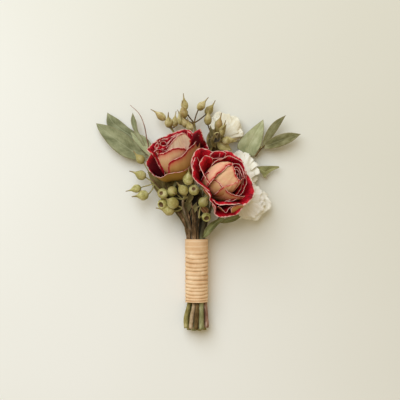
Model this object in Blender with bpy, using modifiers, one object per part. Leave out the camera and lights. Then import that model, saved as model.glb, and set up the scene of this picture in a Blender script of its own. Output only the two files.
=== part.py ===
"""A small dried flower bouquet, lying on its back: two roses, two cream carnations, seeded
eucalyptus, narrow leafy twigs, and a ribbon wound round the twelve stems.

Everything is laid out in millimetres and made in metres. +Z is up, off the surface that the
bouquet lies on, and +Y runs from the cut stem ends to the flower heads.
"""

import math

import bmesh
import bpy
from mathutils import Matrix, Vector

MM = 0.001

# The layout's own zero, moved to the middle of the finished bouquet's foot.
LAYOUT_TO_ORIGIN = Vector((0.0, -0.57, 0.0))

# The bundle of stems: its axis climbs a little towards the heads.
BUNDLE_X = -1.3
STEM_END_Y = -82.0
STEM_END_HEIGHT = 6.6
BUNDLE_SLOPE = 0.068
STEM_PITCH = 3.3
INNER_RING = STEM_PITCH / math.sqrt(3)
OUTER_RING = 1.53 * STEM_PITCH
END_SPREAD = 1.22
WRAP_END_SPREAD = 1.03
NECK_Y = -16.0
STEM_STEP = 12.0
STEM_STRAIGHT = 2.2
STEM_SINK = 1.2

# The ribbon wound round the bundle.
WRAP_Y = (-62.3, -18.5)
WRAP_INNER = 6.9
WRAP_GROOVE = 7.3
WRAP_RIDGE = 7.8
WRAP_TURNS = 14
WRAP_SIDES = 18

# How thick the thin parts are made here, and how many cells each has across and along.
PETAL_THICK = 0.75
LEAF_THICK = 0.8
ROSE_PETAL_CELLS = (4, 3)
CARNATION_PETAL_CELLS = (6, 2)
SEPAL_CELLS = (2, 4)
LEAF_CELLS = (2, 7)

# The middle of a petal or leaf that lies on the surface: its underside is cut flat there.
REST_HEIGHT = 0.36

COLOURS = {
    "rose_petal": ((0.45, 0.03, 0.04), 0.7),
    "rose_green": ((0.20, 0.19, 0.07), 0.75),
    "carnation_petal": ((0.83, 0.76, 0.60), 0.8),
    "carnation_green": ((0.24, 0.28, 0.10), 0.75),
    "eucalyptus_seed": ((0.47, 0.45, 0.20), 0.7),
    "eucalyptus_leaf": ((0.27, 0.31, 0.17), 0.7),
    "ribbon": ((0.80, 0.56, 0.36), 0.8),
}

# Roses. Each petal is (turn, lean, width, height, belly, rim, roll, skew): degrees round the
# bloom's axis, degrees that it leans out, and then millimetres. Belly and rim are its distances
# from the axis, roll is how far the rim turns out, and skew lets one side lap over the next.
BUD_PETALS = (
    (30, 0, 24, 26.0, 8.0, 4.6, 0.0, 1.5),
    (150, 0, 25, 26.0, 8.8, 5.6, 0.0, 1.5),
    (270, 0, 26, 26.0, 9.6, 6.6, 0.0, 1.5),
)
RIGHT_ROSE = {
    "base": Vector((9.5, 15.0, 22.0)),
    "axis": Vector((0.34, 0.40, 0.85)),
    "petals": BUD_PETALS
    + (
        (80, 2, 28, 25.5, 12.2, 11.2, 0.2, 1.3),
        (200, 2, 28, 25.5, 12.4, 11.6, 0.2, 1.3),
        (320, 2, 28, 24.5, 12.6, 12.0, 0.2, 1.3),
        (10, 18, 28, 24.0, 13.6, 14.6, 1.4, 1.2),
        (62, 14, 28, 24.0, 13.6, 14.6, 1.4, 1.2),
        (114, 17, 28, 24.0, 13.6, 14.6, 1.4, 1.2),
        (165, 19, 28, 23.0, 13.6, 14.6, 1.4, 1.2),
        (216, 24, 27, 22.0, 13.6, 14.6, 1.4, 1.2),
        (268, 34, 26, 22.0, 13.0, 14.6, 1.8, 1.2),
        (320, 24, 27, 22.0, 13.6, 14.6, 1.4, 1.2),
    ),
    "sepals": (20, 92, 164, 236, 308),
    "slot": (50, OUTER_RING),
    "path": ((4.0, -6.0, 13.6), (6.0, 4.0, 11.6)),
}
LEFT_ROSE = {
    "base": Vector((-12.0, 25.5, 13.0)),
    "axis": Vector((-0.16, 0.84, 0.52)),
    "petals": BUD_PETALS
    + (
        (80, 2, 28, 26.0, 12.2, 11.2, 0.4, 1.3),
        (200, 2, 28, 25.0, 12.4, 11.6, 0.4, 1.3),
        (320, 2, 28, 25.0, 12.6, 12.0, 0.4, 1.3),
        (22, 12, 28, 27.5, 13.8, 15.0, 1.2, 1.2),
        (80, 12, 28, 27.5, 13.8, 15.0, 1.6, 1.2),
        (138, 15, 28, 27.5, 13.8, 15.0, 1.6, 1.2),
        (192, 38, 25, 24.0, 12.8, 13.6, 2.0, 1.2),
        (240, 8, 27, 22.0, 13.4, 14.0, 1.2, 1.2),
        (300, 10, 27, 24.0, 13.6, 14.6, 1.4, 1.2),
        (345, 10, 26, 25.0, 13.8, 14.6, 1.2, 1.2),
    ),
    "sepals": (10, 82, 154, 226, 298),
    "slot": (150, INNER_RING),
    "path": ((-4.0, -6.0, 11.5), (-6.2, 5.0, 8.2)),
}
PETAL_ROOT = (2.2, 0.9)
ROSE_CORE = ((0.0, 0.0), (4.0, 0.0), (8.4, 2.4), (7.4, 8.0), (5.8, 15.0), (3.0, 23.0), (0.0, 24.5))
ROSE_CORE_SIDES = 8
ROSE_HIP = ((0.0, 0.0), (1.5, -0.6), (3.6, 3.2), (3.7, 6.3), (2.6, 7.7), (0.0, 7.7))
ROSE_HIP_SIDES = 10
HIP_HEIGHT = 8.0
ROSE_STEM_RADII = (1.5, 1.35)
CARNATION_STEM_RADII = (1.45, 1.2)
SEPAL_LENGTH = 11.0
SEPAL_WIDTH = 4.2
SEPAL_THICK = 0.7

# Carnations. A whorl is (how many petals, degrees that they lean out, share of the length,
# degrees that it starts at). A bloom is pressed between a floor, given by its height at two
# places along Y, and a ceiling: the surface with the stems that pass under it, and the rose.
MAIN_CARNATION = {
    "mouth": Vector((24.0, 12.2, 8.6)),
    "axis": Vector((0.60, 0.70, 0.38)),
    "length": 28.0,
    "width": 21.0,
    "whorls": ((6, 74, 1.0, 10), (5, 46, 0.98, 30), (3, 16, 0.96, 5)),
    "floor": ((20.0, -1.5), (30.0, 8.1)),
    "ceiling": 17.0,
    "slot": (10, OUTER_RING),
    "path": ((8.0, -11.0, 12.3), (15.0, -4.0, 9.5)),
    "leaves": (((14.5, -4.5, 9.8), (31.5, -2.0, 8.5), 4.2, 10, 1.0),),
}
TOP_CARNATION = {
    "mouth": Vector((14.0, 46.0, 6.0)),
    "axis": Vector((0.26, 0.95, 0.10)),
    "length": 21.0,
    "width": 13.0,
    "whorls": ((5, 36, 1.0, 15), (4, 14, 0.97, 45)),
    "floor": ((40.0, -1.0), (70.0, -1.0)),
    "ceiling": 12.0,
    "slot": (290, OUTER_RING),
    "path": ((2.5, -2.0, 4.5), (6.0, 16.0, 3.0), (9.5, 30.0, 3.2)),
    "leaves": (),
}
CALYX = ((0.0, 0.0), (1.4, -0.4), (2.5, 2.0), (2.9, 6.0), (3.3, 8.7), (0.0, 8.7))
CALYX_HEIGHT = 9.0
CALYX_SIDES = 8
CARNATION_CORE = ((0.0, 0.0), (2.6, 0.0), (4.2, 3.0), (3.8, 7.5), (0.0, 10.0))

# A eucalyptus seed case: a round cup drawn out into a beak.
SEED = ((0.0, 0.0), (2.3, 1.1), (3.25, 3.9), (2.5, 6.1), (0.9, 7.9), (0.3, 12.0), (0.0, 12.0))
SEED_MIDDLE = 3.9
SEED_SIDES = 6
STALK_RADII = (0.65, 0.55)
STALK_STEP = 5.0
STALK_SINK = 0.8

# Branches of seed cases. A cluster is a point of the branch and the seed cases whose stalks
# leave it there, each one given by its middle and the way that its beak points.
SPRAYS = {
    "left_seed_spray": {
        "slot": (170, OUTER_RING),
        "radius": (1.4, 0.7),
        "path": ((-11.0, -6.0, 12.8), (-22.0, 9.0, 12.0), (-30.5, 19.6, 11.0)),
        "clusters": (
            (
                (-30.5, 19.6, 11.0),
                (
                    ((-39.9, 25.6, 10.5), (-0.90, 0.40, 0.10)),
                    ((-43.4, 16.1, 10.0), (-0.96, -0.27, 0.05)),
                    ((-38.2, 11.6, 13.0), (-0.90, -0.10, 0.40)),
                    ((-40.3, 36.8, 13.5), (-0.70, 0.72, 0.10)),
                ),
            ),
        ),
    },
    "middle_seed_spray": {
        "slot": (130, OUTER_RING),
        "radius": (1.4, 0.8),
        "path": ((-7.0, -7.0, 17.5), (-10.5, 3.0, 19.5), (-10.5, 8.5, 20.5)),
        "clusters": (
            (
                (-10.5, 8.5, 20.5),
                (
                    ((-25.0, 12.6, 19.0), (-0.55, 0.10, 0.80)),
                    ((-18.5, 14.0, 22.5), (0.20, -0.25, 0.95)),
                    ((-12.0, 15.4, 24.0), (-0.50, 0.60, 0.60)),
                    ((-6.2, 13.8, 25.0), (-0.15, 0.20, 0.95)),
                    ((-8.4, 21.0, 27.5), (0.08, 0.60, 0.80)),
                ),
            ),
            (
                (-10.5, 3.0, 19.5),
                (
                    ((-17.2, 6.3, 23.0), (-0.60, 0.35, 0.70)),
                    ((-24.9, 5.3, 18.0), (-0.60, -0.20, 0.77)),
                    ((-20.3, 0.0, 18.0), (-0.97, 0.25, 0.0)),
                ),
            ),
        ),
    },
    "low_seed_spray": {
        "slot": (90, OUTER_RING),
        "radius": (1.3, 0.7),
        "path": ((-0.9, -8.0, 18.6), (0.4, -4.0, 19.8)),
        "clusters": (
            (
                (0.4, -4.0, 19.8),
                (
                    ((0.0, 4.0, 25.0), (-0.10, 0.45, 0.89)),
                    ((8.5, -3.6, 19.5), (0.70, -0.30, 0.50)),
                ),
            ),
        ),
    },
    "upper_left_seed_spray": {
        "slot": (250, OUTER_RING),
        "radius": (1.3, 0.7),
        "path": (
            (-3.4, -3.0, 3.9),
            (-3.6, 16.0, 2.4),
            (-4.5, 32.0, 2.2),
            (-11.0, 47.0, 2.7),
            (-20.0, 59.5, 6.6),
        ),
        "clusters": (
            (
                (-20.0, 59.5, 7.0),
                (
                    ((-27.0, 69.0, 8.5), (-0.78, 0.63, 0.05)),
                    ((-20.3, 61.5, 14.5), (-0.10, 0.75, 0.60)),
                    ((-18.2, 66.0, 5.0), (0.05, 0.99, 0.05)),
                ),
            ),
        ),
    },
    "upper_middle_seed_spray": {
        "slot": (270, INNER_RING),
        "radius": (1.3, 0.7),
        "path": (
            (-0.4, -3.0, 7.8),
            (1.5, 15.0, 5.4),
            (1.8, 35.0, 5.5),
            (-1.0, 50.0, 7.4),
            (-3.0, 61.6, 9.5),
        ),
        "clusters": (
            (
                (-3.0, 61.6, 9.5),
                (
                    ((-11.0, 75.2, 12.5), (0.0, 1.0, 0.05)),
                    ((-8.0, 74.0, 6.5), (0.05, 1.0, -0.10)),
                    ((-11.2, 67.0, 13.0), (-0.15, 0.97, 0.20)),
                    ((2.1, 73.5, 11.0), (0.62, 0.78, 0.0)),
                    ((7.4, 70.8, 6.5), (0.60, 0.80, 0.0)),
                    ((-8.0, 62.0, 13.5), (-0.30, 0.70, 0.60)),
                    ((-4.0, 64.5, 16.0), (0.10, 0.80, 0.55)),
                ),
            ),
        ),
    },
    "upper_right_seed_spray": {
        "slot": (30, INNER_RING),
        "radius": (1.3, 0.7),
        "path": (
            (2.0, -4.0, 11.0),
            (4.0, 12.0, 8.2),
            (4.6, 30.0, 9.4),
            (8.0, 42.0, 13.0),
            (11.5, 50.0, 16.0),
        ),
        "clusters": (
            (
                (11.5, 50.0, 16.0),
                (
                    ((6.5, 63.5, 18.0), (0.05, 0.98, 0.15)),
                    ((13.8, 60.2, 18.5), (0.25, 0.95, 0.15)),
                    ((18.3, 56.5, 19.0), (0.40, 0.88, 0.20)),
                    ((19.6, 49.0, 20.5), (0.98, 0.15, 0.10)),
                    ((12.3, 52.5, 23.5), (0.15, 0.30, 0.94)),
                ),
            ),
        ),
    },
}

# Leafy twigs. A leaf is (foot, tip, width, roll about its midrib in degrees, arch). A tip
# below the surface makes a leaf that lies flat on it from there on.
TENDRIL_RADII = (0.6, 0.35)
TENDRIL_STEP = 4.0
LEAFY = {
    "left_leafy_twig": {
        "slot": (210, OUTER_RING),
        "radius": (1.4, 0.7),
        "path": ((-10.0, -4.0, 6.0), (-21.0, 14.0, 3.2), (-29.5, 30.0, 3.6), (-34.0, 39.0, 4.5)),
        "leaves": (
            ((-34.0, 38.0, 5.0), (-71.6, 62.3, 4.5), 15.5, 12, 2.0),
            ((-33.5, 39.5, 4.3), (-63.7, 69.3, -3.0), 14.5, -6, 0.0),
            ((-34.0, 40.0, 4.5), (-46.2, 69.7, 6.5), 4.6, 40, 1.0),
            ((-31.0, 36.0, 4.5), (-41.0, 56.5, 4.0), 13.0, -10, 1.0),
        ),
        "tendril": (
            (-33.5, 40.0, 4.6),
            (-36.0, 51.8, 7.0),
            (-37.6, 60.0, 8.0),
            (-41.0, 68.0, 8.5),
            (-47.3, 74.2, 8.5),
        ),
    },
    "right_leafy_twig": {
        "slot": (330, OUTER_RING),
        "radius": (1.4, 0.7),
        "path": (
            (7.0, -2.0, 6.2),
            (13.0, 15.0, 3.2),
            (19.5, 33.0, 3.0),
            (28.0, 40.5, 3.0),
            (37.0, 41.5, 4.0),
            (44.6, 45.4, 6.0),
        ),
        "leaves": (
            ((36.0, 41.0, 4.0), (45.5, 65.3, 6.5), 15.0, -8, 1.2),
            ((44.6, 45.4, 6.0), (60.9, 68.3, 9.0), 5.8, 25, 0.8),
            ((44.6, 45.4, 6.0), (71.7, 54.6, 8.0), 6.8, -15, 1.2),
            ((36.0, 41.0, 4.0), (56.4, 29.0, -2.5), 9.0, 6, 0.0),
        ),
        "tendril": (),
    },
}


def bezier(values, t):
    """The cubic through four control values."""
    a, b, c, d = values
    s = 1 - t
    return a * s**3 + 3 * b * s * s * t + 3 * c * s * t * t + d * t**3


def smooth_step(t):
    t = min(1.0, max(0.0, t))
    return t * t * (3 - 2 * t)


def smooth_path(points, step):
    """Points about a step apart on one smooth curve through the given points."""
    points = [Vector(p) for p in points]
    ends = [2 * points[0] - points[1], *points, 2 * points[-1] - points[-2]]
    found = [points[0]]
    for a, b, c, d in zip(ends, ends[1:], ends[2:], ends[3:]):
        count = max(1, round((c - b).length / step))
        for i in range(1, count + 1):
            t = i / count
            found.append(
                0.5
                * (
                    2 * b
                    + (c - a) * t
                    + (2 * a - 5 * b + 4 * c - d) * t * t
                    + (3 * b - a - 3 * c + d) * t**3
                )
            )
    return found


def standing_frame(foot, axis):
    """A frame at foot whose Z runs along axis and whose X leans to the right of the layout."""
    z = axis.normalized()
    x = (Vector((1, 0, 0)) - z * z.x).normalized()
    y = z.cross(x)
    turn = Matrix((x, y, z)).transposed().to_4x4()
    return Matrix.Translation(foot) @ turn


def rose_petal_point(petal, u, v):
    """A point of a rose petal in its bloom's frame. u runs across it and v from root to rim."""
    turn, lean, width, height, belly, rim, roll, skew = petal
    root, lift = PETAL_ROOT
    t = v * (1 - 0.16 * abs(u) ** 2.6)
    radius = bezier((root, 1.12 * belly, 1.04 * belly, rim), t)
    up = bezier((lift, 0.4, 0.64 * height, height), t)
    half = 0.5 * width * (0.26 + 0.74 * math.sin(math.pi * min(0.5, 0.72 * v)) ** 0.9)
    half *= 1 - 0.22 * max(0.0, v - 0.6) ** 1.5 / 0.253
    angle = u * half / max(radius, 0.55 * belly)
    curl = roll * max(0.0, (v - 0.7) / 0.3) ** 2 * (0.55 + 0.45 * u * u)
    ruffle = 0.05 * roll * v * v * math.sin(7 * u + 0.05 * turn)
    x = (radius + curl + ruffle) * math.cos(angle) + skew * u * smooth_step(2 * v)
    y = (radius + curl + ruffle) * math.sin(angle)
    z = up - 0.55 * curl
    tip = math.radians(lean)
    out, rise = x - root, z - lift
    x = root + out * math.cos(tip) + rise * math.sin(tip)
    z = lift - out * math.sin(tip) * 0.55 + rise * math.cos(tip)
    return Matrix.Rotation(math.radians(turn), 3, "Z") @ Vector((x, y, z))


def sepal_point(turn, u, v):
    """A point of a sepal, which starts on the hip's shoulder and bends back to the stem."""
    half = 0.5 * SEPAL_WIDTH * (1 - 0.86 * v) * (0.75 + 0.9 * v * (1 - v))
    bend = math.radians(15 - 62 * v)
    x = 2.2 + SEPAL_LENGTH * v * math.cos(bend * 0.5)
    z = 5.2 + SEPAL_LENGTH * v * math.sin(bend)
    return Matrix.Rotation(math.radians(turn), 3, "Z") @ Vector((x, u * half, z - 0.25 * u * u * half))


def carnation_petal_point(bloom, turn, lean, share, u, v):
    """A point of a carnation petal: a fan on a narrow claw, waved and toothed at its rim."""
    length = bloom["length"] * share
    tooth = 0.035 * (-1) ** round(3 * (u + 1)) * v**3
    along = length * v * (1 + tooth - 0.08 * u * u * v)
    half = 0.5 * bloom["width"] * (0.12 + 0.88 * v**0.85)
    wave = 1.9 * v * v * math.sin(5.6 * u + 0.11 * turn + 0.05 * lean)
    bend = math.radians(lean) * (0.35 + 0.65 * v)
    x = 1.2 + along * math.sin(bend) + wave * math.cos(bend)
    z = 1.0 + along * math.cos(bend) - wave * math.sin(bend)
    y = u * half + 0.05 * wave
    return Matrix.Rotation(math.radians(turn), 3, "Z") @ Vector((x + 0.9 * u * v, y, z))


def pressed(bloom, point):
    """The point moved up or down into the flat space that the bloom has."""
    (near_y, near_floor), (far_y, far_floor) = bloom["floor"]
    low = near_floor + (far_floor - near_floor) * smooth_step((point.y - near_y) / (far_y - near_y))
    high = bloom["ceiling"]
    middle, half = 0.5 * (low + high), 0.5 * (high - low)
    height = middle + half * math.tanh((point.z - middle) / half)
    return Vector((point.x, point.y, max(REST_HEIGHT, height)))


def leaf_point(leaf, u, v):
    """A point of a leaf blade, folded a little along its midrib and arched along its length."""
    foot, tip, width, roll, arch = leaf
    foot, tip = Vector(foot), Vector(tip)
    along = (tip - foot).normalized()
    side = along.cross(Vector((0, 0, 1))).normalized()
    side.rotate(Matrix.Rotation(math.radians(roll), 3, along))
    face = side.cross(along)
    half = 0.5 * width * (math.sin(math.pi * v**0.85) ** 0.9 * (1 - 0.06 * v) + 0.03)
    rise = arch * math.sin(math.pi * v) + 0.16 * abs(u) * half
    point = foot.lerp(tip, v) + side * (u * half) + face * rise
    return Vector((point.x, point.y, max(REST_HEIGHT, point.z)))


def grid_sheet(cells, point):
    """An open sheet as a mesh, with point(u, v) giving its corners in millimetres. It is split
    into triangles before it is thickened, so both of its faces are split alike."""
    sheet = bmesh.new()
    bmesh.ops.create_grid(sheet, x_segments=cells[0], y_segments=cells[1], size=1.0)
    for corner in sheet.verts:
        corner.co = point(corner.co.x, 0.5 * (corner.co.y + 1)) * MM
    bmesh.ops.triangulate(sheet, faces=sheet.faces)
    mesh = bpy.data.meshes.new("sheet")
    sheet.to_mesh(mesh)
    sheet.free()
    return mesh


def new_object(name, data, frame=None):
    made = bpy.data.objects.new(name, data)
    bpy.context.scene.collection.objects.link(made)
    if frame:
        scaled = frame.copy()
        scaled.translation = frame.translation * MM
        made.matrix_world = scaled
    return made


def finished_mesh(made):
    """The object's evaluated mesh in world space, on an object of its own."""
    bpy.context.view_layer.update()
    graph = bpy.context.evaluated_depsgraph_get()
    mesh = bpy.data.meshes.new_from_object(made.evaluated_get(graph))
    mesh.transform(made.matrix_world)
    name = made.name
    bpy.data.objects.remove(made)
    return new_object(name, mesh)


def blade(name, cells, thickness, point):
    """A thin closed solid round the sheet that point describes."""
    made = new_object(name, grid_sheet(cells, point))
    shell = made.modifiers.new("Thickness", "SOLIDIFY")
    shell.thickness = thickness * MM
    shell.offset = 0
    return finished_mesh(made)


def leaf_blade(name, leaf):
    def point(u, v):
        return leaf_point(leaf, u, v)

    return blade(name + "_leaf", LEAF_CELLS, LEAF_THICK, point)


def turned(name, profile, sides, frame, closed=False):
    """A solid turned round its frame's Z from (radius, height) pairs: from the foot on the axis
    to the top on the axis or, when closed, once round a section that stays off the axis."""
    line = bmesh.new()
    corners = [line.verts.new(Vector((r, 0, z)) * MM) for r, z in reversed(profile)]
    for a, b in zip(corners, corners[1:] + corners[:1] if closed else corners[1:]):
        line.edges.new((a, b))
    mesh = bpy.data.meshes.new(name)
    line.to_mesh(mesh)
    line.free()
    made = new_object(name, mesh, frame)
    spin = made.modifiers.new("Turn", "SCREW")
    spin.steps = spin.render_steps = sides
    spin.use_merge_vertices = True
    spin.merge_threshold = 0.00001
    return finished_mesh(made)


def rod(name, points, start, end, round_steps=1):
    """A round rod along points, tapering from radius start to radius end."""
    curve = bpy.data.curves.new(name, "CURVE")
    curve.dimensions = "3D"
    curve.bevel_depth = MM
    curve.bevel_resolution = round_steps
    curve.use_fill_caps = True
    line = curve.splines.new("POLY")
    line.points.add(len(points) - 1)
    for i, (at, point) in enumerate(zip(line.points, points)):
        at.co = (*(Vector(point) * MM), 1)
        at.radius = start + (end - start) * i / (len(points) - 1)
    made = finished_mesh(new_object(name, curve))
    body = bmesh.new()
    body.from_mesh(made.data)
    bmesh.ops.remove_doubles(body, verts=body.verts, dist=1e-7)
    body.to_mesh(made.data)
    body.free()
    return made


def islands(mesh):
    """The connected bodies of a bmesh, each a set of faces."""
    left = set(mesh.faces)
    found = []
    while left:
        body, front = set(), [next(iter(left))]
        while front:
            face = front.pop()
            if face not in left:
                continue
            left.remove(face)
            body.add(face)
            front.extend(f for e in face.edges for f in e.link_faces if f in left)
        found.append(body)
    return found


def drop_folded_pairs(mesh):
    """Delete the triangles that lie back to back on the same three corners."""
    found = {}
    for face in mesh.faces:
        found.setdefault(frozenset(face.verts), []).append(face)
    doubles = [face for faces in found.values() if len(faces) > 1 for face in faces]
    bmesh.ops.delete(mesh, geom=doubles, context="FACES")


def volume_of(faces):
    total = 0.0
    for face in faces:
        corners = [v.co for v in face.verts]
        for b, c in zip(corners[1:], corners[2:]):
            total += corners[0].dot(b.cross(c)) / 6
    return total


def rested(made, solver):
    """The object cut flat where it presses on the surface that the bouquet lies on."""
    if min(corner.co.z for corner in made.data.vertices) >= 0:
        return made
    cut = made.modifiers.new("Rest", "BOOLEAN")
    cut.operation = "DIFFERENCE"
    cut.object = bpy.data.objects["surface_cutter"]
    cut.solver = solver
    return finished_mesh(made)


def fused(name, pieces, colour, solver="EXACT"):
    """The pieces joined into one body. A sealed hollow is filled and a loose scrap is dropped."""
    first, others = pieces[0], pieces[1:]
    if others:
        group = bpy.data.collections.new(name + "_pieces")
        for piece in others:
            group.objects.link(piece)
        join = first.modifiers.new("Join", "BOOLEAN")
        join.operation = "UNION"
        join.operand_type = "COLLECTION"
        join.collection = group
        join.solver = solver
        first = finished_mesh(first)
        for piece in others:
            bpy.data.objects.remove(piece)
        bpy.data.collections.remove(group)
    first = rested(first, solver)
    body = bmesh.new()
    body.from_mesh(first.data)
    bmesh.ops.triangulate(body, faces=body.faces)
    drop_folded_pairs(body)
    parts = sorted(islands(body), key=volume_of)
    for scrap in parts[:-1]:
        bmesh.ops.delete(body, geom=list(scrap), context="FACES")
    body.to_mesh(first.data)
    body.free()
    first.name = name
    first.data.name = name
    first.data.materials.clear()
    first.data.materials.append(new_material(name, colour))
    first.data.shade_smooth()
    first.data.set_sharp_from_angle(angle=math.radians(40))
    return first


def bundle_point(slot, y, spread=1.0):
    """Where the stem in a slot of the bundle passes y. A slot is (degrees, distance from the axis)."""
    angle, distance = math.radians(slot[0]), slot[1] * spread
    axis_z = STEM_END_HEIGHT + BUNDLE_SLOPE * (y - STEM_END_Y)
    return Vector((BUNDLE_X + distance * math.cos(angle), y, axis_z + distance * math.sin(angle)))


def stem_path(slot, onward):
    """A stem's line from its cut end through the ribbon and on through the given points."""
    held = [
        bundle_point(slot, STEM_END_Y, END_SPREAD),
        bundle_point(slot, WRAP_Y[0] - 3, WRAP_END_SPREAD),
        bundle_point(slot, WRAP_Y[0] + 6),
        bundle_point(slot, NECK_Y - 6),
        bundle_point(slot, NECK_Y),
    ]
    return smooth_path([*held, *onward], STEM_STEP)


def rose(name, spec):
    """A rose as two nodes: its petals on their core, and its green stem, hip and sepals."""
    axis = spec["axis"].normalized()
    frame = standing_frame(spec["base"], axis)
    pieces = [turned(name + "_core", ROSE_CORE, ROSE_CORE_SIDES, frame)]
    for petal in spec["petals"]:

        def petal_point(u, v):
            return frame @ rose_petal_point(petal, u, v)

        pieces.append(blade(name + "_petal", ROSE_PETAL_CELLS, PETAL_THICK, petal_point))
    bloom = fused(name + "_petals", pieces, "rose_petal")
    foot = spec["base"] - axis * HIP_HEIGHT
    low_frame = standing_frame(foot, axis)
    onward = [*spec["path"], foot - axis * STEM_STRAIGHT, foot + axis * STEM_SINK]
    pieces = [
        rod(name + "_rod", stem_path(spec["slot"], onward), *ROSE_STEM_RADII),
        turned(name + "_hip", ROSE_HIP, ROSE_HIP_SIDES, low_frame),
    ]
    for turn in spec["sepals"]:

        def sepal(u, v):
            return low_frame @ sepal_point(turn, u, v)

        pieces.append(blade(name + "_sepal", SEPAL_CELLS, SEPAL_THICK, sepal))
    return bloom, fused(name + "_stem", pieces, "rose_green")


def carnation(name, bloom):
    """A carnation as two nodes: its petals, and its green stem, calyx and narrow leaves."""
    axis = bloom["axis"].normalized()
    frame = standing_frame(bloom["mouth"], axis)
    pieces = [turned(name + "_core", CARNATION_CORE, CALYX_SIDES, frame)]
    for count, lean, share, start in bloom["whorls"]:
        for i in range(count):
            turn = start + 360 * i / count

            def petal_point(u, v):
                return pressed(bloom, frame @ carnation_petal_point(bloom, turn, lean, share, u, v))

            pieces.append(blade(name + "_petal", CARNATION_PETAL_CELLS, PETAL_THICK, petal_point))
    petals = fused(name + "_petals", pieces, "carnation_petal", "MANIFOLD")
    foot = bloom["mouth"] - axis * CALYX_HEIGHT
    low_frame = standing_frame(foot, axis)
    onward = [*bloom["path"], foot + axis * STEM_SINK]
    pieces = [
        rod(name + "_rod", stem_path(bloom["slot"], onward), *CARNATION_STEM_RADII),
        turned(name + "_calyx", CALYX, CALYX_SIDES, low_frame),
    ]
    pieces += [leaf_blade(name, leaf) for leaf in bloom["leaves"]]
    return petals, fused(name + "_stem", pieces, "carnation_green")


def seed_spray(name, spray):
    """A branch of eucalyptus: a stem, and seed cases on stalks that leave its nodes."""
    thick, thin = spray["radius"]
    pieces = [rod(name + "_rod", stem_path(spray["slot"], spray["path"]), thick, thin)]
    for joint, seeds in spray["clusters"]:
        for middle, way in seeds:
            way = Vector(way).normalized()
            foot = Vector(middle) - way * SEED_MIDDLE
            bend = Vector(joint).lerp(foot, 0.6) - way * STALK_SINK
            stalk = smooth_path([joint, bend, foot + way * STALK_SINK], STALK_STEP)
            pieces.append(rod(name + "_stalk", stalk, *STALK_RADII, 0))
            pieces.append(turned(name + "_seed", SEED, SEED_SIDES, standing_frame(foot, way)))
    return fused(name, pieces, "eucalyptus_seed")


def leafy_twig(name, twig):
    thick, thin = twig["radius"]
    pieces = [rod(name + "_rod", stem_path(twig["slot"], twig["path"]), thick, thin)]
    pieces += [leaf_blade(name, leaf) for leaf in twig["leaves"]]
    if twig["tendril"]:
        pieces.append(rod(name + "_tendril", smooth_path(twig["tendril"], TENDRIL_STEP), *TENDRIL_RADII))
    return fused(name, pieces, "eucalyptus_leaf")


def ribbon_wrap():
    """The wound ribbon: a tube whose outside swells at each turn."""
    start, end = (bundle_point((0, 0), y) for y in WRAP_Y)
    length = (end - start).length
    pitch = length / WRAP_TURNS
    outside = [(WRAP_GROOVE, 0.0)]
    for i in range(WRAP_TURNS):
        outside += [(WRAP_RIDGE, (i + 0.5) * pitch), (WRAP_GROOVE, (i + 1) * pitch)]
    profile = [(WRAP_INNER, 0.0), *outside, (WRAP_INNER, length)]
    wrap = turned("ribbon_wrap", profile, WRAP_SIDES, standing_frame(start, end - start), True)
    return fused("ribbon_wrap", [wrap], "ribbon")


def surface_cutter():
    """A block whose top is the surface that the bouquet lies on."""
    block = bmesh.new()
    bmesh.ops.create_cube(block, size=1, matrix=Matrix.Diagonal((0.4, 0.4, 0.1, 1)))
    bmesh.ops.translate(block, verts=block.verts, vec=(0, 0, -0.05))
    mesh = bpy.data.meshes.new("surface_cutter")
    block.to_mesh(mesh)
    block.free()
    cutter = bpy.data.objects.new("surface_cutter", mesh)
    cutter.display_type = "WIRE"
    cutter.hide_render = True
    return cutter


def new_material(name, kind):
    colour, roughness = COLOURS[kind]
    material = bpy.data.materials.new(name)
    material.use_nodes = True
    shader = material.node_tree.nodes["Principled BSDF"]
    shader.inputs["Base Color"].default_value = (*colour, 1)
    shader.inputs["Roughness"].default_value = roughness
    shader.inputs["Metallic"].default_value = 0.0
    material.diffuse_color = (*colour, 1)
    return material


def main():
    for old in list(bpy.data.objects):
        bpy.data.objects.remove(old)
    bouquet = bpy.data.collections.new("dried_flower_bouquet")
    helpers = bpy.data.collections.new("cutters")
    bpy.context.scene.collection.children.link(bouquet)
    bpy.context.scene.collection.children.link(helpers)
    helpers.objects.link(surface_cutter())
    nodes = [
        *rose("right_rose", RIGHT_ROSE),
        *rose("left_rose", LEFT_ROSE),
        *carnation("main_carnation", MAIN_CARNATION),
        *carnation("top_carnation", TOP_CARNATION),
    ]
    nodes += [seed_spray(name, spray) for name, spray in SPRAYS.items()]
    nodes += [leafy_twig(name, twig) for name, twig in LEAFY.items()]
    nodes.append(ribbon_wrap())
    stand = bpy.data.objects.new("bouquet_origin", None)
    stand.location = LAYOUT_TO_ORIGIN * MM
    bouquet.objects.link(stand)
    for node in nodes:
        bouquet.objects.link(node)
        bpy.context.scene.collection.objects.unlink(node)
        node.parent = stand


main()
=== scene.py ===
"""The looks of a small dried flower bouquet that lies on its back: two bicoloured roses, two
cream carnations, seeded eucalyptus, leafy twigs and a wound ribbon.

Lengths are in millimetres in the bouquet's layout: x to the right, y from the cut stem ends to
the flower heads, z up off the table. in_row() turns them into the row frame's metres.
"""

import itertools
import math

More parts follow.
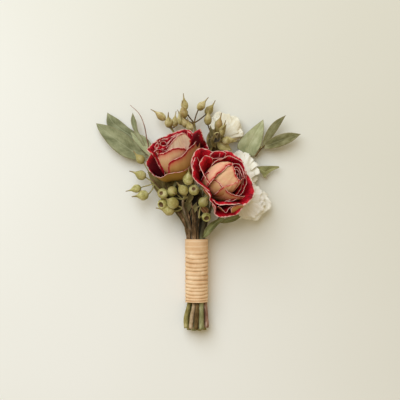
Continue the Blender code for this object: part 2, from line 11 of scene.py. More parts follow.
import bpy
import numpy as np
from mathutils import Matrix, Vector


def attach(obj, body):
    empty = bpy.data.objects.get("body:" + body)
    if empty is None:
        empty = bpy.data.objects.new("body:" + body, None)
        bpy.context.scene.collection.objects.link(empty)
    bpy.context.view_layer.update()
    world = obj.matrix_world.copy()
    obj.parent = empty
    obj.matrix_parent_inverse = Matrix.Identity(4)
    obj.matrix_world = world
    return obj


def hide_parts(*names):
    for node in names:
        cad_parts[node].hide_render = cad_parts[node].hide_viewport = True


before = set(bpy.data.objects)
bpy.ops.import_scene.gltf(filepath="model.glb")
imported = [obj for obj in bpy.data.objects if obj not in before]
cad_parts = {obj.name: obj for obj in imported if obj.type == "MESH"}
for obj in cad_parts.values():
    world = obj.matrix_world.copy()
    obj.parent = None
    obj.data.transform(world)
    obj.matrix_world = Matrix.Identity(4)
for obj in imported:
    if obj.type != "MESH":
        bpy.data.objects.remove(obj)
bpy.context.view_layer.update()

MM = 0.001
LAYOUT_TO_ORIGIN = np.array((0.0, -0.57, 0.0))

# The camera looks straight down. PIXEL is what one pixel of the 400 x 400 picture covers on the
# table, and PICTURE_MIDDLE is its middle pixel.
EYE = np.array((1.05, 8.4, 778.0))
LENS = 100.0
SENSOR = 36.0
PIXEL = 0.7
PICTURE_MIDDLE = 200.0

UP = np.array((0.0, 0.0, 1.0))
CURVE_STEPS = 24


# Geometry helpers

def unit(vector):
    vector = np.asarray(vector, float)
    return vector / np.linalg.norm(vector, axis=-1, keepdims=True)


def smooth_step(t):
    t = np.clip(t, 0.0, 1.0)
    return t * t * (3 - 2 * t)


def stacked(*parts):
    """Points from their coordinates, each an array or one number."""
    return np.stack(np.broadcast_arrays(*parts), axis=-1)


def gone_along(points, axis=0):
    """How far each point lies from the first, along the line through them all."""
    steps = np.linalg.norm(np.diff(points, axis=axis), axis=-1)
    start = np.zeros_like(np.take(steps, [0], axis=axis))
    return np.concatenate([start, np.cumsum(steps, axis=axis)], axis=axis)


def around(angles, first, second):
    """The directions at those angles from the first direction towards the second."""
    angles = np.asarray(angles)[..., None]
    return np.cos(angles) * first + np.sin(angles) * second


def fanned(turn, width, count):
    """That many angles in radians, spread over a width about a turn, both in degrees."""
    return np.radians(turn + np.linspace(-0.5, 0.5, count) * width)


def full_turn(sides):
    return np.arange(sides) * 2 * math.pi / sides


def tone_of(seed):
    """A tone from 0 to 1 that differs from one seed to the next."""
    return seed * 0.618 % 1.0


def in_row(points):
    return (np.asarray(points, float) + LAYOUT_TO_ORIGIN) * MM


def sight_line(px, py):
    """The direction from the camera to the place on the table under a pixel."""
    x = EYE[0] + (px - PICTURE_MIDDLE) * PIXEL
    y = EYE[1] + (PICTURE_MIDDLE - py) * PIXEL
    return stacked(x, y, 0.0) - EYE


def seen(px, py, height):
    """The point at that height which the camera sees at that pixel."""
    share = np.asarray((EYE[2] - height) / EYE[2])
    return EYE + sight_line(px, py) * share[..., None]


def smooth_line(points, count):
    """That many points, evenly spaced along one smooth curve through the given points."""
    points = np.asarray(points, float)
    ends = np.vstack([2 * points[0] - points[1], points, 2 * points[-1] - points[-2]])
    t = np.linspace(0, 1, CURVE_STEPS, endpoint=False)[:, None]
    pieces = []
    for a, b, c, d in zip(ends, ends[1:], ends[2:], ends[3:]):
        pieces.append(
            0.5 * (2 * b + (c - a) * t + (2 * a - 5 * b + 4 * c - d) * t**2
                   + (3 * b - a - 3 * c + d) * t**3)
        )
    line = np.vstack([*pieces, points[-1:]])
    gone = gone_along(line)
    wanted = np.linspace(0, gone[-1], count)
    return stacked(*(np.interp(wanted, gone, line[:, k]) for k in range(3)))


class Waves:
    """A smooth random surface: a seeded sum of sine waves, about -1 to 1."""

    def __init__(self, seed, longest, shortest, count=7):
        draw = np.random.default_rng(seed)
        length = np.geomspace(longest, shortest, count)
        turn = draw.uniform(0, 2 * math.pi, count)
        self.kx = 2 * math.pi / length * np.cos(turn)
        self.ky = 2 * math.pi / length * np.sin(turn)
        self.phase = draw.uniform(0, 2 * math.pi, count)
        self.size = (length / length[0]) ** 0.6
        self.size /= self.size.sum() * 0.6

    def __call__(self, x, y=0.0):
        x, y = np.asarray(x, float)[..., None], np.asarray(y, float)[..., None]
        return (self.size * np.sin(self.kx * x + self.ky * y + self.phase)).sum(-1)


def added(name, data):
    """A new object in the scene."""
    made = bpy.data.objects.new(name, data)
    bpy.context.scene.collection.objects.link(made)
    return made


class Sheets:
    """Grids of points gathered into one mesh. Each vertex carries its place on its own sheet
    (millimetres across, millimetres along, and the sheet's tone from 0 to 1) and its edge
    (millimetres to the free margin, and two more values that the material reads)."""

    def __init__(self):
        self.points, self.faces, self.places, self.edges = [], [], [], []
        self.count = 0

    def add(self, grid, place, edge, closed=False):
        wide, long = grid.shape[:2]
        number = self.count + np.arange(wide * long).reshape(wide, long)
        if closed:
            number = np.vstack([number, number[:1]])
        corners = (number[:-1, :-1], number[1:, :-1], number[1:, 1:], number[:-1, 1:])
        self.faces.append(stacked(*corners).reshape(-1, 4))
        self.points.append(grid.reshape(-1, 3))
        self.places.append(np.broadcast_to(place, grid.shape).reshape(-1, 3))
        self.edges.append(np.broadcast_to(edge, grid.shape).reshape(-1, 3))
        self.count += wide * long

    def finish(self, name, node, materials, thickness=0.0):
        """The piece, which rides with the bouquet and stands for its node. A piece with a
        thickness has one side in each of the first two materials and its rim in the third."""
        mesh = bpy.data.meshes.new(name)
        mesh.from_pydata(in_row(np.vstack(self.points)).tolist(), [], np.vstack(self.faces).tolist())
        for label, values in (("place", self.places), ("edge", self.edges)):
            layer = mesh.attributes.new(label, "FLOAT_VECTOR", "POINT")
            layer.data.foreach_set("vector", np.vstack(values).astype(np.float32).ravel())
        mesh.shade_smooth()
        for material in materials:
            mesh.materials.append(material)
        piece = added(name, mesh)
        if thickness:
            shell = piece.modifiers.new("Thickness", "SOLIDIFY")
            shell.thickness = thickness * MM
            shell.offset = 0
            shell.material_offset = 1
            shell.material_offset_rim = 2
        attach(piece, "root")
        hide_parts(node)


# Materials

NOISE_ROUGHNESS = 0.55
# A Mix node's sockets for the two colours and for the mixed one
MIX_FIRST, MIX_SECOND, MIX_RESULT = 6, 7, 2


class Value:
    """A number in a material's node tree, to reckon with as with any other number."""

    def __init__(self, shader, socket):
        self.shader, self.socket = shader, socket

    def __add__(self, other):
        return self.shader.math("ADD", self, other)

    def __sub__(self, other):
        return self.shader.math("SUBTRACT", self, other)

    def __rsub__(self, other):
        return self.shader.math("SUBTRACT", other, self)

    def __mul__(self, other):
        return self.shader.math("MULTIPLY", self, other)

    def __truediv__(self, other):
        return self.shader.math("DIVIDE", self, other)

    def __abs__(self):
        return self.shader.math("ABSOLUTE", self)

    def between(self, low, high, start=0.0, end=1.0):
        """start where the value is low, end where it is high, and a smooth change between."""
        ends = {"From Min": low, "From Max": high, "To Min": start, "To Max": end}
        node = self.shader.node("MapRange", {"Value": self, **ends}, interpolation_type="SMOOTHSTEP")
        return Value(self.shader, node.outputs[0])


class Shader:
    """A Principled material whose node tree is written as calls."""

    def __init__(self, name, roughness, shine):
        self.material = bpy.data.materials.new(name)
        self.material.use_nodes = True
        self.tree = self.material.node_tree
        self.inputs = self.tree.nodes["Principled BSDF"].inputs
        self.inputs["Roughness"].default_value = roughness
        self.inputs["Specular IOR Level"].default_value = shine

    def node(self, kind, inputs, **settings):
        """A new node with those settings, whose inputs are fed with those values."""
        node = self.tree.nodes.new("ShaderNode" + kind)
        for name, value in settings.items():
            setattr(node, name, value)
        for socket, value in inputs.items():
            self.feed(node.inputs[socket], value)
        return node

    def feed(self, socket, value):
        """Link a node's output to a socket, or set the socket to a colour or a number."""
        if isinstance(value, Value):
            value = value.socket
        if isinstance(value, bpy.types.NodeSocket):
            self.tree.links.new(value, socket)
        elif isinstance(value, tuple):
            socket.default_value = (*value, 1)
        else:
            socket.default_value = value

    def parts(self, vector):
        return [Value(self, socket) for socket in self.node("SeparateXYZ", {0: vector}).outputs]

    def sheet(self):
        """A vertex's place and edge, as Sheets describes them."""
        return [
            self.parts(self.node("Attribute", {}, attribute_name=name).outputs["Vector"])
            for name in ("place", "edge")
        ]

    def position(self):
        """Where a point is in the row frame, in millimetres."""
        metres = self.node("TexCoord", {}).outputs["Object"]
        scaled = self.node("VectorMath", {0: metres, "Scale": 1 / MM}, operation="SCALE")
        return self.parts(scaled.outputs[0])

    def math(self, kind, a, b=0.0):
        return Value(self, self.node("Math", {0: a, 1: b}, operation=kind).outputs[0])

    def noise(self, where, scale, detail=3.0):
        """Noise at the point with those three coordinates."""
        point = self.node("CombineXYZ", dict(enumerate(where))).outputs[0]
        grain = {"Scale": scale, "Detail": detail, "Roughness": NOISE_ROUGHNESS}
        return Value(self, self.node("TexNoise", {"Vector": point, **grain}).outputs["Fac"])

    def ramp(self, value, *stops):
        """A colour for each (value, colour) stop, and what lies between."""
        node = self.node("ValToRGB", {0: value})
        elements = node.color_ramp.elements
        while len(elements) < len(stops):
            elements.new(0.5)
        for element, (at, colour) in zip(elements, stops):
            element.position = at
            element.color = (*colour, 1)
        return node.outputs["Color"]

    def mix(self, factor, a, b, kind="MIX"):
        inputs = {"Factor": factor, MIX_FIRST: a, MIX_SECOND: b}
        return self.node("Mix", inputs, data_type="RGBA", blend_type=kind).outputs[MIX_RESULT]

    def made(self, colour, height=None, depth=0.0):
        """The material in that colour, with bumps where a height is given."""
        self.feed(self.inputs["Base Color"], colour)
        if height:
            bump = {"Strength": 1.0, "Distance": depth * MM, "Height": height}
            self.feed(self.inputs["Normal"], self.node("Bump", bump).outputs[0])
        return self.material


# The petals of the roses: crimson inside, and outside olive to cream with a crimson band
INSIDE_REDS = ((0.36, (0.11, 0.0, 0.004)), (0.48, (0.36, 0.001, 0.009)), (0.62, (0.66, 0.008, 0.020)))
# Painted shade for the insides of the petals: deep in the cup, and away from the margin where a petal's
# blush value is low
INSIDE_PAINTED_SHADE = (0.05, 0.0, 0.003)
# The pale line along a petal's margin is partly its own colour and partly a painted highlight
INSIDE_PALE_RIM_AND_HIGHLIGHT = (0.88, 0.50, 0.40)
OUTSIDE_AGED = ((0.0, (0.16, 0.09, 0.008)), (0.40, (0.36, 0.20, 0.032)), (1.0, (0.57, 0.30, 0.09)))
OUTSIDE_FRESH = ((0.0, (0.30, 0.14, 0.02)), (0.45, (0.60, 0.33, 0.12)), (1.0, (0.95, 0.65, 0.43)))
OUTSIDE_CREAM = (1.0, 0.81, 0.54)
OUTSIDE_STREAK = (0.50, 0.20, 0.08)
OUTSIDE_FLUSH = (0.74, 0.29, 0.20)
OUTSIDE_PINK = (0.58, 0.11, 0.07)
OUTSIDE_BAND = (0.40, 0.003, 0.012)
# The pale rim line and the pale rim patches are partly the margin's own colour and partly a painted
# highlight
OUTSIDE_PALE_RIM_AND_HIGHLIGHT = (0.86, 0.46, 0.36)
RIM_PATCHES_AND_HIGHLIGHTS = ((0.36, (0.50, 0.05, 0.05)), (0.44, (0.84, 0.42, 0.34)), (0.56, (0.93, 0.62, 0.50)))
PETAL_BUMP = 0.22


def petal_streaks(shader, place):
    """Noise drawn out along the petal, and blotches about as wide as they are long."""
    x, y, tone = place
    shift = tone * 40.0
    streak = shader.noise((x * 1.5, y * 0.16, shift), 1.0, 4.0)
    blotch = shader.noise((x, y, shift), 0.22)
    return streak, blotch


def rim_distance(shader, place, edge):
    """The distance from a petal's margin, made ragged: less than it is here, more there."""
    x, y, tone = place
    ragged = shader.noise((x, y, tone * 90.0), 0.35, 2.0)
    return edge[0] + (0.5 - ragged) * 3.0


def rose_inside(name):
    shader = Shader(name, 0.62, 0.18)
    place, edge = shader.sheet()
    margin, _, blush = edge
    streak, blotch = petal_streaks(shader, place)
    red = shader.ramp(streak * 0.35 + blotch * 0.65, *INSIDE_REDS)
    # Painted shade: the inside darkens towards the petal's foot, deep in the cup.
    red = shader.mix(place[1].between(9.0, 26.0, 0.88, 0.0), red, INSIDE_PAINTED_SHADE)
    # Painted shade away from the margin, on petals with a low blush value.
    shaded = blush.between(0.2, 0.9, 0.9, 0.0) * margin.between(0.8, 4.5)
    red = shader.mix(shaded, red, INSIDE_PAINTED_SHADE)
    # Pale line along the margin: partly its own colour, partly a painted highlight.
    rim = rim_distance(shader, place, edge).between(0.1, 0.75, 0.95, 0.0)
    return shader.made(shader.mix(rim, red, INSIDE_PALE_RIM_AND_HIGHLIGHT), streak, PETAL_BUMP)


def rose_outside(name):
    shader = Shader(name, 0.7, 0.15)
    place, edge = shader.sheet()
    margin, cream, blush = edge
    streak, blotch = petal_streaks(shader, place)
    length = place[1].between(7.0, 30.0)
    ground = shader.mix(cream, shader.ramp(length, *OUTSIDE_AGED), shader.ramp(length, *OUTSIDE_FRESH))
    ground = shader.mix(cream.between(1.0, 2.0), ground, OUTSIDE_CREAM)
    ground = shader.mix(streak.between(0.42, 0.62, 0.0, 0.20), ground, OUTSIDE_STREAK)
    flush = blotch.between(0.44, 0.58, 0.06, 0.52) * cream.between(0.0, 0.6)
    ground = shader.mix(flush * cream.between(1.4, 1.9, 1.0, 0.25), ground, OUTSIDE_FLUSH)
    reach = (margin + (blotch - 0.5) * 3.0) / blush
    ground = shader.mix(reach.between(0.8, 4.8, 0.85, 0.0), ground, OUTSIDE_PINK)
    ground = shader.mix(reach.between(1.0, 2.3, 1.0, 0.0), ground, OUTSIDE_BAND)
    # Pale line along the margin: partly its own colour, partly a painted highlight.
    rim = rim_distance(shader, place, edge).between(0.1, 0.6, 0.9, 0.0)
    return shader.made(shader.mix(rim, ground, OUTSIDE_PALE_RIM_AND_HIGHLIGHT), streak, PETAL_BUMP)


def rose_rim(name):
    """The cut of a petal's margin: pale pink in places and crimson in others. The pale patches are partly
    the margin's own colour and partly a painted highlight.
    """
    shader = Shader(name, 0.6, 0.2)
    (x, y, tone), _ = shader.sheet()
    return shader.made(shader.ramp(shader.noise((x, y, tone * 40.0), 0.30), *RIM_PATCHES_AND_HIGHLIGHTS))


# Roses

RING_POINTS = 7
RING_SAG = 5.0


class Bloom:
    """A bloom's receptacle and the way that it faces. The third number of a rim's points is the
    level along its axis or, with by_reach, the distance from its axis."""

    def __init__(self, base, axis, by_reach=False):
        self.base = np.array(base, float)
        self.axis = unit(axis)
        self.by_reach = by_reach
        self.right = unit(np.cross((0.0, 1.0, 0.0), self.axis))
        self.front = np.cross(self.axis, self.right)

    def at(self, px, py, third):
        """The point on a pixel's sight line at that level along the axis or, by reach, at that
        distance from the axis: on the near side, or on the far side where it is negative."""
        way = sight_line(px, py)
        start = EYE - self.base
        if not self.by_reach:
            return EYE + way * (third - start @ self.axis) / (way @ self.axis)
        flat_start = start - (start @ self.axis) * self.axis
        flat_way = way - (way @ self.axis) * self.axis
        a, b = flat_way @ flat_way, flat_start @ flat_way
        room = max(0.0, b * b - a * (flat_start @ flat_start - third * third))
        return EYE + way * (-b - math.copysign(math.sqrt(room), third)) / a

    def ring(self, turn, width, radius, level):
        """Rim points of a petal given in the bloom's own frame, in degrees and millimetres."""
        sag = (np.linspace(-1, 1, RING_POINTS) ** 2)[:, None]
        out = around(fanned(turn, width, RING_POINTS), self.right, self.front)
        return self.base + out * radius + self.axis * (level - RING_SAG * sag**2)


PETAL_ACROSS = 46
PETAL_ALONG = 34
# How far along a petal its rows of points lie: they crowd together towards the rim.
PETAL_ROWS = 1 - (1 - np.linspace(0, 1, PETAL_ALONG)) ** 1.5
PETAL_THICK = 0.22
# Where petals leave the receptacle: how far from its axis, and how high up it
RECEPTACLE = 2.0
RECEPTACLE_LIFT = 0.8
# The belly's control point, for how far out the belly is and how high above the base
BELLY_SWELL = 1.05
BELLY_LIFT = 0.5
# How far below the rim the next control point is, as a share of the petal's span
RIM_PULL = 0.38
RIM_WAVER = 0.35
CREASE = 0.16
# How far in from its margin a petal curls over, and how far in it drops with the curl
CURL_WIDTH = 1.4
DROP_WIDTH = 0.9


def petal_side(bloom, rim, body):
    """The rim, and the ways out from the axis in which the petal's lines leave its foot. A petal
    that folds over the bud has its body elsewhere than its rim: at that turn and width."""
    if body:
        return rim, around(fanned(*body, PETAL_ACROSS), bloom.right, bloom.front)
    up = (rim - bloom.base) @ bloom.axis
    out = rim - bloom.base - up[:, None] * bloom.axis
    if (np.cross(out[:-1], out[1:]) @ bloom.axis).sum() < 0:
        rim, out = rim[::-1], out[::-1]
    return rim, unit(unit(out) + 0.15 * unit(out.mean(axis=0)))


def petal_grid(bloom, rim, out, belly, flare, fold):
    """A petal's points, from the receptacle round the belly up to its rim. fold is how far out
    and how high the two middle control points of a folded petal are."""
    foot_way = unit(out + 1.5 * unit(out.mean(axis=0)))
    root = bloom.base + bloom.axis * RECEPTACLE_LIFT + foot_way * RECEPTACLE
    if fold:
        low = bloom.base + out * fold[0] + bloom.axis * fold[1]
        high = bloom.base + out * fold[2] + bloom.axis * fold[3]
    else:
        tilt = math.radians(flare)
        span = np.linalg.norm(rim - root, axis=1)[:, None]
        low = bloom.base + out * belly * BELLY_SWELL + bloom.axis * BELLY_LIFT
        high = rim - (bloom.axis * math.cos(tilt) + out * math.sin(tilt)) * RIM_PULL * span
    root, low, high, rim = (part[:, None, :] for part in (root, low, high, rim))
    v = PETAL_ROWS[:, None]
    return root * (1 - v) ** 3 + 3 * low * v * (1 - v) ** 2 + 3 * high * v**2 * (1 - v) + rim * v**3


def rose_petal(sheets, bloom, seed, rim, belly=13.0, flare=20.0, curl=0.5, ruffle=0.45, cream=0.0,
               blush=1.0, body=None, fold=None):
    """A petal with a ragged, curled rim and a crumpled blade."""
    rim, out = petal_side(bloom, smooth_line(rim, PETAL_ACROSS), body)
    across = gone_along(rim)
    across -= across[-1] / 2
    rim = rim + bloom.axis * (RIM_WAVER * Waves(seed, 9.0, 2.2)(across))[:, None]
    grid = petal_grid(bloom, rim, out, belly, flare, fold)
    v = PETAL_ROWS
    along, from_side = gone_along(grid, axis=1), gone_along(grid)
    to_side = np.minimum(from_side, from_side[-1:] - from_side) + 8 * np.clip(0.5 - v, 0, 1)
    margin = np.minimum(along[:, -1:] - along, to_side)
    facing = unit(np.cross(np.gradient(grid, axis=0), np.gradient(grid, axis=1)))
    x = across[:, None] * (0.35 + 0.65 * v)
    crumple = Waves(seed + 100, 14.0, 5.0)(x, along * 0.5)
    crease = Waves(seed + 200, 3.2, 1.4)(x, along * 0.12)
    push = ruffle * v**2 * crumple + CREASE * v * crease + curl * np.exp(-((margin / CURL_WIDTH) ** 2))
    grid = grid + facing * push[..., None]
    grid = grid - bloom.axis * (0.5 * curl * np.exp(-((margin / DROP_WIDTH) ** 2)))[..., None]
    sheets.add(grid, stacked(x, along, tone_of(seed)), stacked(margin, cream, blush))


# The right rose, which opens towards the camera and the upper right. Each petal: its rim as
# (pixel across, pixel down, level along the axis), and how it is shaped and coloured.
RIGHT_ROSE = Bloom((9.5, 15.0, 22.0), (0.34, 0.40, 0.85))
RIGHT_OUTER = (
    (((192.2, 168, 20), (192.4, 160, 21), (195, 152.5, 21.5), (199.4, 148.4, 21.5), (204.5, 148.4, 21.5),
      (210.3, 150.5, 21), (216, 152.8, 20)), dict(flare=50, belly=11.5, curl=0.6)),
    (((210.5, 154.5, 20), (213, 152.8, 20.5), (217, 151.4, 21), (222.5, 151.3, 21.5), (226.5, 153.6, 21.5)),
     dict(flare=35, curl=0.6)),
    (((221, 153.5, 20.5), (226, 151.2, 20), (231, 152.2, 20), (235.5, 155, 20), (240, 158.2, 20),
      (243.5, 163, 19)), dict(flare=35, curl=0.7)),
    (((197, 155, 21), (193.6, 162, 21), (193.2, 169, 21), (192.8, 175, 20.5), (195.3, 178.8, 20),
      (199.4, 182.3, 20), (204.5, 186.8, 19.5), (210.3, 190, 19)), dict(flare=58, curl=0.6, belly=11)),
    (((202.5, 184, 18.5), (206.8, 190.1, 18.5), (209.7, 194.7, 18.5), (210.8, 199.9, 18), (213.7, 203, 17),
      (216.9, 208, 15), (216, 213.6, 12)), dict(flare=62, curl=0.6, belly=11)),
    (((213.5, 199, 18.5), (218.9, 203.4, 18.5), (225.2, 203.3, 18.5), (233.8, 203.3, 18.5),
      (241.3, 203.4, 18), (245.5, 204.5, 17)), dict(flare=45, curl=0.7, belly=12.5)),
    (((215.2, 207, 12), (215.4, 213.5, 11), (219, 216.3, 10.5), (225, 216.8, 10.5), (231, 215.8, 10.5),
      (237, 213.3, 11), (243, 207.5, 13)), dict(flare=60, curl=0.4, belly=12)),
    (((219, 205.5, 16), (221.4, 207.4, 15.2), (225.6, 211.6, 13.8), (228.3, 208.8, 14.8),
      (232.8, 206, 15.5)), dict(flare=20, belly=12, curl=0.3)),
    (((230.5, 208.5, 14), (233.5, 206.2, 14.6), (238, 205.6, 15), (244, 204.8, 15)),
     dict(body=(305, 30), fold=(20, 0, 26, 7), curl=-0.2, blush=0.3)),
    (((244.2, 171, 20), (248.4, 175.6, 20), (252.2, 182.6, 20), (253.9, 191, 19.5), (252.5, 195, 19.5),
      (249.5, 199.5, 19), (245.9, 202.6, 18), (240, 204, 17)), dict(flare=40, curl=0.9)),
)
RIGHT_INNER = (
    (((212, 165, 22), (217.1, 160.3, 23), (222.9, 158.5, 23.5), (227.5, 156.5, 24), (232.6, 157.1, 24),
      (237.8, 159.7, 23.5), (241.8, 162.6, 23), (244.1, 167.1, 22.5), (245.3, 171.7, 22), (246, 176, 21)),
     dict(flare=10, curl=0.4)),
    (((213, 157.5, 22), (206.5, 155.3, 24), (203.4, 157.3, 25), (200.2, 163, 25), (202.2, 169.4, 24.5),
      (204.5, 175.2, 23.5), (208, 180.9, 22), (210, 184, 21)), dict(flare=48, curl=0.4, belly=10.5)),
    (((246, 170, 20), (246.5, 178, 20.5), (245, 186, 20.5), (241, 194, 19.5), (234, 199.5, 18),
      (226, 200.5, 17)), dict(flare=12, curl=0.3, belly=12.5)),
)
RIGHT_BUD = (
    (((208.6, 170.5, 22.5), (212.4, 176.3, 23), (219, 182, 23.6), (224.6, 187.5, 24), (229, 191.5, 23.4),
      (233.2, 194, 22.8), (238.8, 195.3, 22), (244.7, 195.6, 20.5)),
     dict(flare=-6, curl=0.3, cream=0.42, blush=1, belly=12.8)),
    (((233, 165.2, 28.2), (230.4, 165.4, 28.6), (227.3, 166.8, 28.6), (224.8, 169.6, 28.2),
      (221.7, 172.4, 27.4), (218, 174.4, 26.2), (214.8, 177.6, 24.4)),
     dict(body=(132, 150), fold=(15.5, 8, 12, 29), curl=0.12, cream=0.55, blush=0.8, ruffle=0.2)),
    (((230.5, 166, 27), (233.3, 165.8, 28), (234.8, 169.5, 28.5), (236, 174, 28.2), (238, 178, 27.5),
      (240.4, 180.2, 26.5)),
     dict(body=(222, 150), fold=(15, 8, 11.5, 28.6), curl=0.1, cream=0.4, blush=0.6, ruffle=0.2)),
    (((224.6, 186.6, 24.6), (230.9, 184.4, 26), (236.7, 182, 26.8), (240.8, 180, 26.2), (242.6, 178, 25)),
     dict(body=(292, 110), fold=(14.5, 8, 11.5, 27), curl=0.12, cream=0.3, blush=0.5, ruffle=0.2)),
    (((231.2, 167.4, 27.2), (234.3, 164.2, 27.6), (238.8, 164.6, 27.2), (242, 168.4, 26.4),
      (243.6, 173.5, 25.6), (243.4, 179, 24.6)), dict(flare=-5, curl=0.3, blush=1.2, belly=10.5)),
    (((233.8, 168.6, 27.4), (236.4, 167, 27.6), (239.6, 168.8, 27.2), (241.4, 172.6, 26.4),
      (241.8, 177, 25.4)), dict(flare=-10, curl=0.3, blush=1.2, belly=9.5)),
    (((235.2, 170.8, 27), (237, 170, 27), (239, 171.8, 26.6), (240, 175.2, 26), (240, 178.6, 25.4)),
     dict(flare=-12, curl=0.25, blush=1.2, belly=8.5)),
)

# The left rose, seen from its side. A rim's third number is its distance from the bloom's axis.
LEFT_ROSE = Bloom((-12.0, 25.5, 13.0), (-0.16, 0.84, 0.52), by_reach=True)
LEFT_OUTER = (
    (((157, 139.5, -10), (161.5, 136.9, -12), (166, 135.2, -13), (171, 133.2, -13), (176, 131.2, -13),
      (181, 129.7, -13), (186, 129.2, -12.5), (190, 130.5, -12), (193, 134, -10)),
     dict(flare=14, curl=0.6)),
    (((161.5, 168.5, 14), (157, 161.5, 15.5), (152.3, 154, 18), (147.4, 148.9, 19.5), (150.8, 145.1, -17),
      (154.4, 141.5, -14), (158, 139, -12)), dict(flare=42, curl=0.4)),
    (((208.6, 148.4, -22), (206.4, 143.6, -22), (204, 138, -19), (202.2, 132.5, -16), (200.6, 128.9, -13),
      (196, 130.3, -11), (193.2, 134.5, -8)), dict(body=(25, 90), flare=62, curl=0.4, belly=9, blush=0.3)),
    (((187, 131.5, -10), (190.5, 133, -9.5), (193, 135.8, -9), (194.6, 140, -8)), dict(flare=20, curl=0.4)),
    (((156, 149.5, 11), (151.8, 152.8, 13.5), (148.6, 157.5, 16.5), (146, 164.5, 19), (150.3, 170.3, 19),
      (155, 175, 19.5), (160, 177, 19), (163.6, 175.6, 17.5), (167.7, 173.2, 16.5), (173.8, 171.6, 16),
      (178.4, 171.1, 16), (184, 170.1, 15.5), (189, 166, 15)),
     dict(flare=30, curl=0.5, blush=0.3, belly=14.6)),
)
LEFT_FRONT = (
    (((163.6, 169.5, 14), (158.4, 158.5, 14.5), (157, 154.8, 14), (160.5, 153.2, 14), (165.6, 151.7, 14),
      (170.7, 148.9, 14), (175.8, 147.3, 13.5), (181, 147.1, 13), (186, 148.8, 13), (190, 151, 13.5),
      (193, 155, 14)), dict(flare=-4, curl=0.3, cream=0.45, blush=1.1, belly=13.5)),
    (((198.4, 131.5, -5), (198.8, 135.6, 8), (196.2, 140.2, 12), (192.7, 143.8, 14), (188.6, 147.9, 15),
      (185, 151.8, 15.5), (181, 155.3, 15.5), (177.3, 157.9, 15.5), (172.8, 159.4, 15.3), (170.2, 161, 15),
      (168.7, 165, 14.2), (169, 171, 12.8)), dict(flare=0, curl=0.4, cream=0.1, blush=1.3, belly=13.2)),
)
LEFT_BUD = (
    (((166.5, 151, 9), (168.4, 147, 7), (171.2, 142.8, 5), (175, 137.6, 2), (179, 134.2, 0),
      (182.4, 132.5, -1), (185, 133, 0), (188.8, 137, 3), (193.4, 142.6, 6), (195, 148, 9)),
     dict(flare=-10, curl=0.2, cream=1.9, blush=0.4, belly=11)),
    (((154.5, 146.5, -11), (157, 143.6, -10), (160, 144.2, -9), (162.5, 146.3, -7), (166, 145.3, -6),
      (168.6, 142.4, -6), (172, 138.4, -7), (177, 134.6, -8), (182, 132.6, -8)), dict(flare=0, curl=0.4)),
    (((153, 151.5, 12), (156.5, 149, -10), (160, 148.8, -8), (163.5, 150, 7), (166.5, 149.6, 8)),
     dict(flare=4, curl=0.5)),
    (((158, 141.5, -10), (162, 139.3, -10), (167, 138.8, -9), (172, 136.4, -9), (177.5, 133.2, -9.5)),
     dict(flare=2, curl=0.5)),
    (((156, 147.5, -9), (159.5, 146.2, -8), (162.5, 148.3, -6), (165.6, 148, 4), (168.4, 145.2, 4)),
     dict(flare=-4, curl=0.4, belly=11)),
    (((160.5, 141.8, -9), (164, 141, -8), (167, 142.8, -7), (170.4, 139.6, -7), (174, 136.6, -8)),
     dict(flare=-6, curl=0.4, belly=11)),
)

# How far inside its rim a hidden petal's belly is, and how far outside its rim a heart petal's
HIDDEN_INSET = 1.5
HEART_SWELL = 0.8
HEART_SHAPE = dict(flare=-6, curl=0.2, ruffle=0.2, blush=1.2)
# The backs and the hearts of the roses, which the picture doesn't show: (turn round the axis,
# width in degrees, distance from the axis, level)
RIGHT_HIDDEN = ((20, 110, 15, 19), (95, 110, 15, 19), (330, 110, 14, 18))
LEFT_HIDDEN = ((270, 120, 12.9, 22), (200, 110, 13, 23), (340, 110, 13, 23))
# The right rose's heart stands to one side: it points away from a spot on the rose's axis, and
# its own petals start some way down from its tip.
HEART_TIP = RIGHT_ROSE.at(235.4, 172.8, 26.4)
HEART_AIM = 9.0
HEART_HEIGHT = 12.0
HEART_WAY = unit(HEART_TIP - RIGHT_ROSE.base - HEART_AIM * RIGHT_ROSE.axis)
RIGHT_HEART = Bloom(HEART_TIP - HEART_HEIGHT * HEART_WAY, HEART_WAY)
RIGHT_HEART_RINGS = (
    (250, 190, 3.2, 11.8), (100, 170, 2.5, 12.2), (300, 200, 1.8, 12.2), (120, 240, 1.0, 12.0),
)
LEFT_HEART_RINGS = (
    (80, 150, 8.2, 20), (200, 150, 7.7, 20.6), (320, 150, 7.1, 20.4), (30, 150, 5.9, 21.2),
    (150, 150, 5.3, 21.4), (270, 150, 4.7, 21.2), (100, 190, 3.3, 21.8), (280, 190, 2.5, 21.8),
    (180, 240, 1.2, 21.6),
)


def rose(name, bloom, groups, hidden, heart, heart_rings):
    """A rose's petals, as a piece for each group, with its hidden petals in the first and last."""
    skins = [rose_outside(name + "_outside"), rose_inside(name + "_inside"), rose_rim(name + "_rim")]
    seeds = itertools.count(len(name) + 1)
    for label, petals in groups.items():
        sheets = Sheets()
        for rim, shape in petals:
            rose_petal(sheets, bloom, next(seeds), [bloom.at(*spot) for spot in rim], **shape)
        if label == "outer":
            for turn, width, radius, level in hidden:
                rim = bloom.ring(turn, width, radius, level)
                rose_petal(sheets, bloom, next(seeds), rim, radius - HIDDEN_INSET)
        if label == "bud":
            for turn, width, radius, level in heart_rings:
                rim = heart.ring(turn, width, radius, level)
                rose_petal(sheets, heart, next(seeds), rim, radius + HEART_SWELL, **HEART_SHAPE)
        sheets.finish(f"{name}_{label}_petals", name + "_petals", skins, PETAL_THICK)


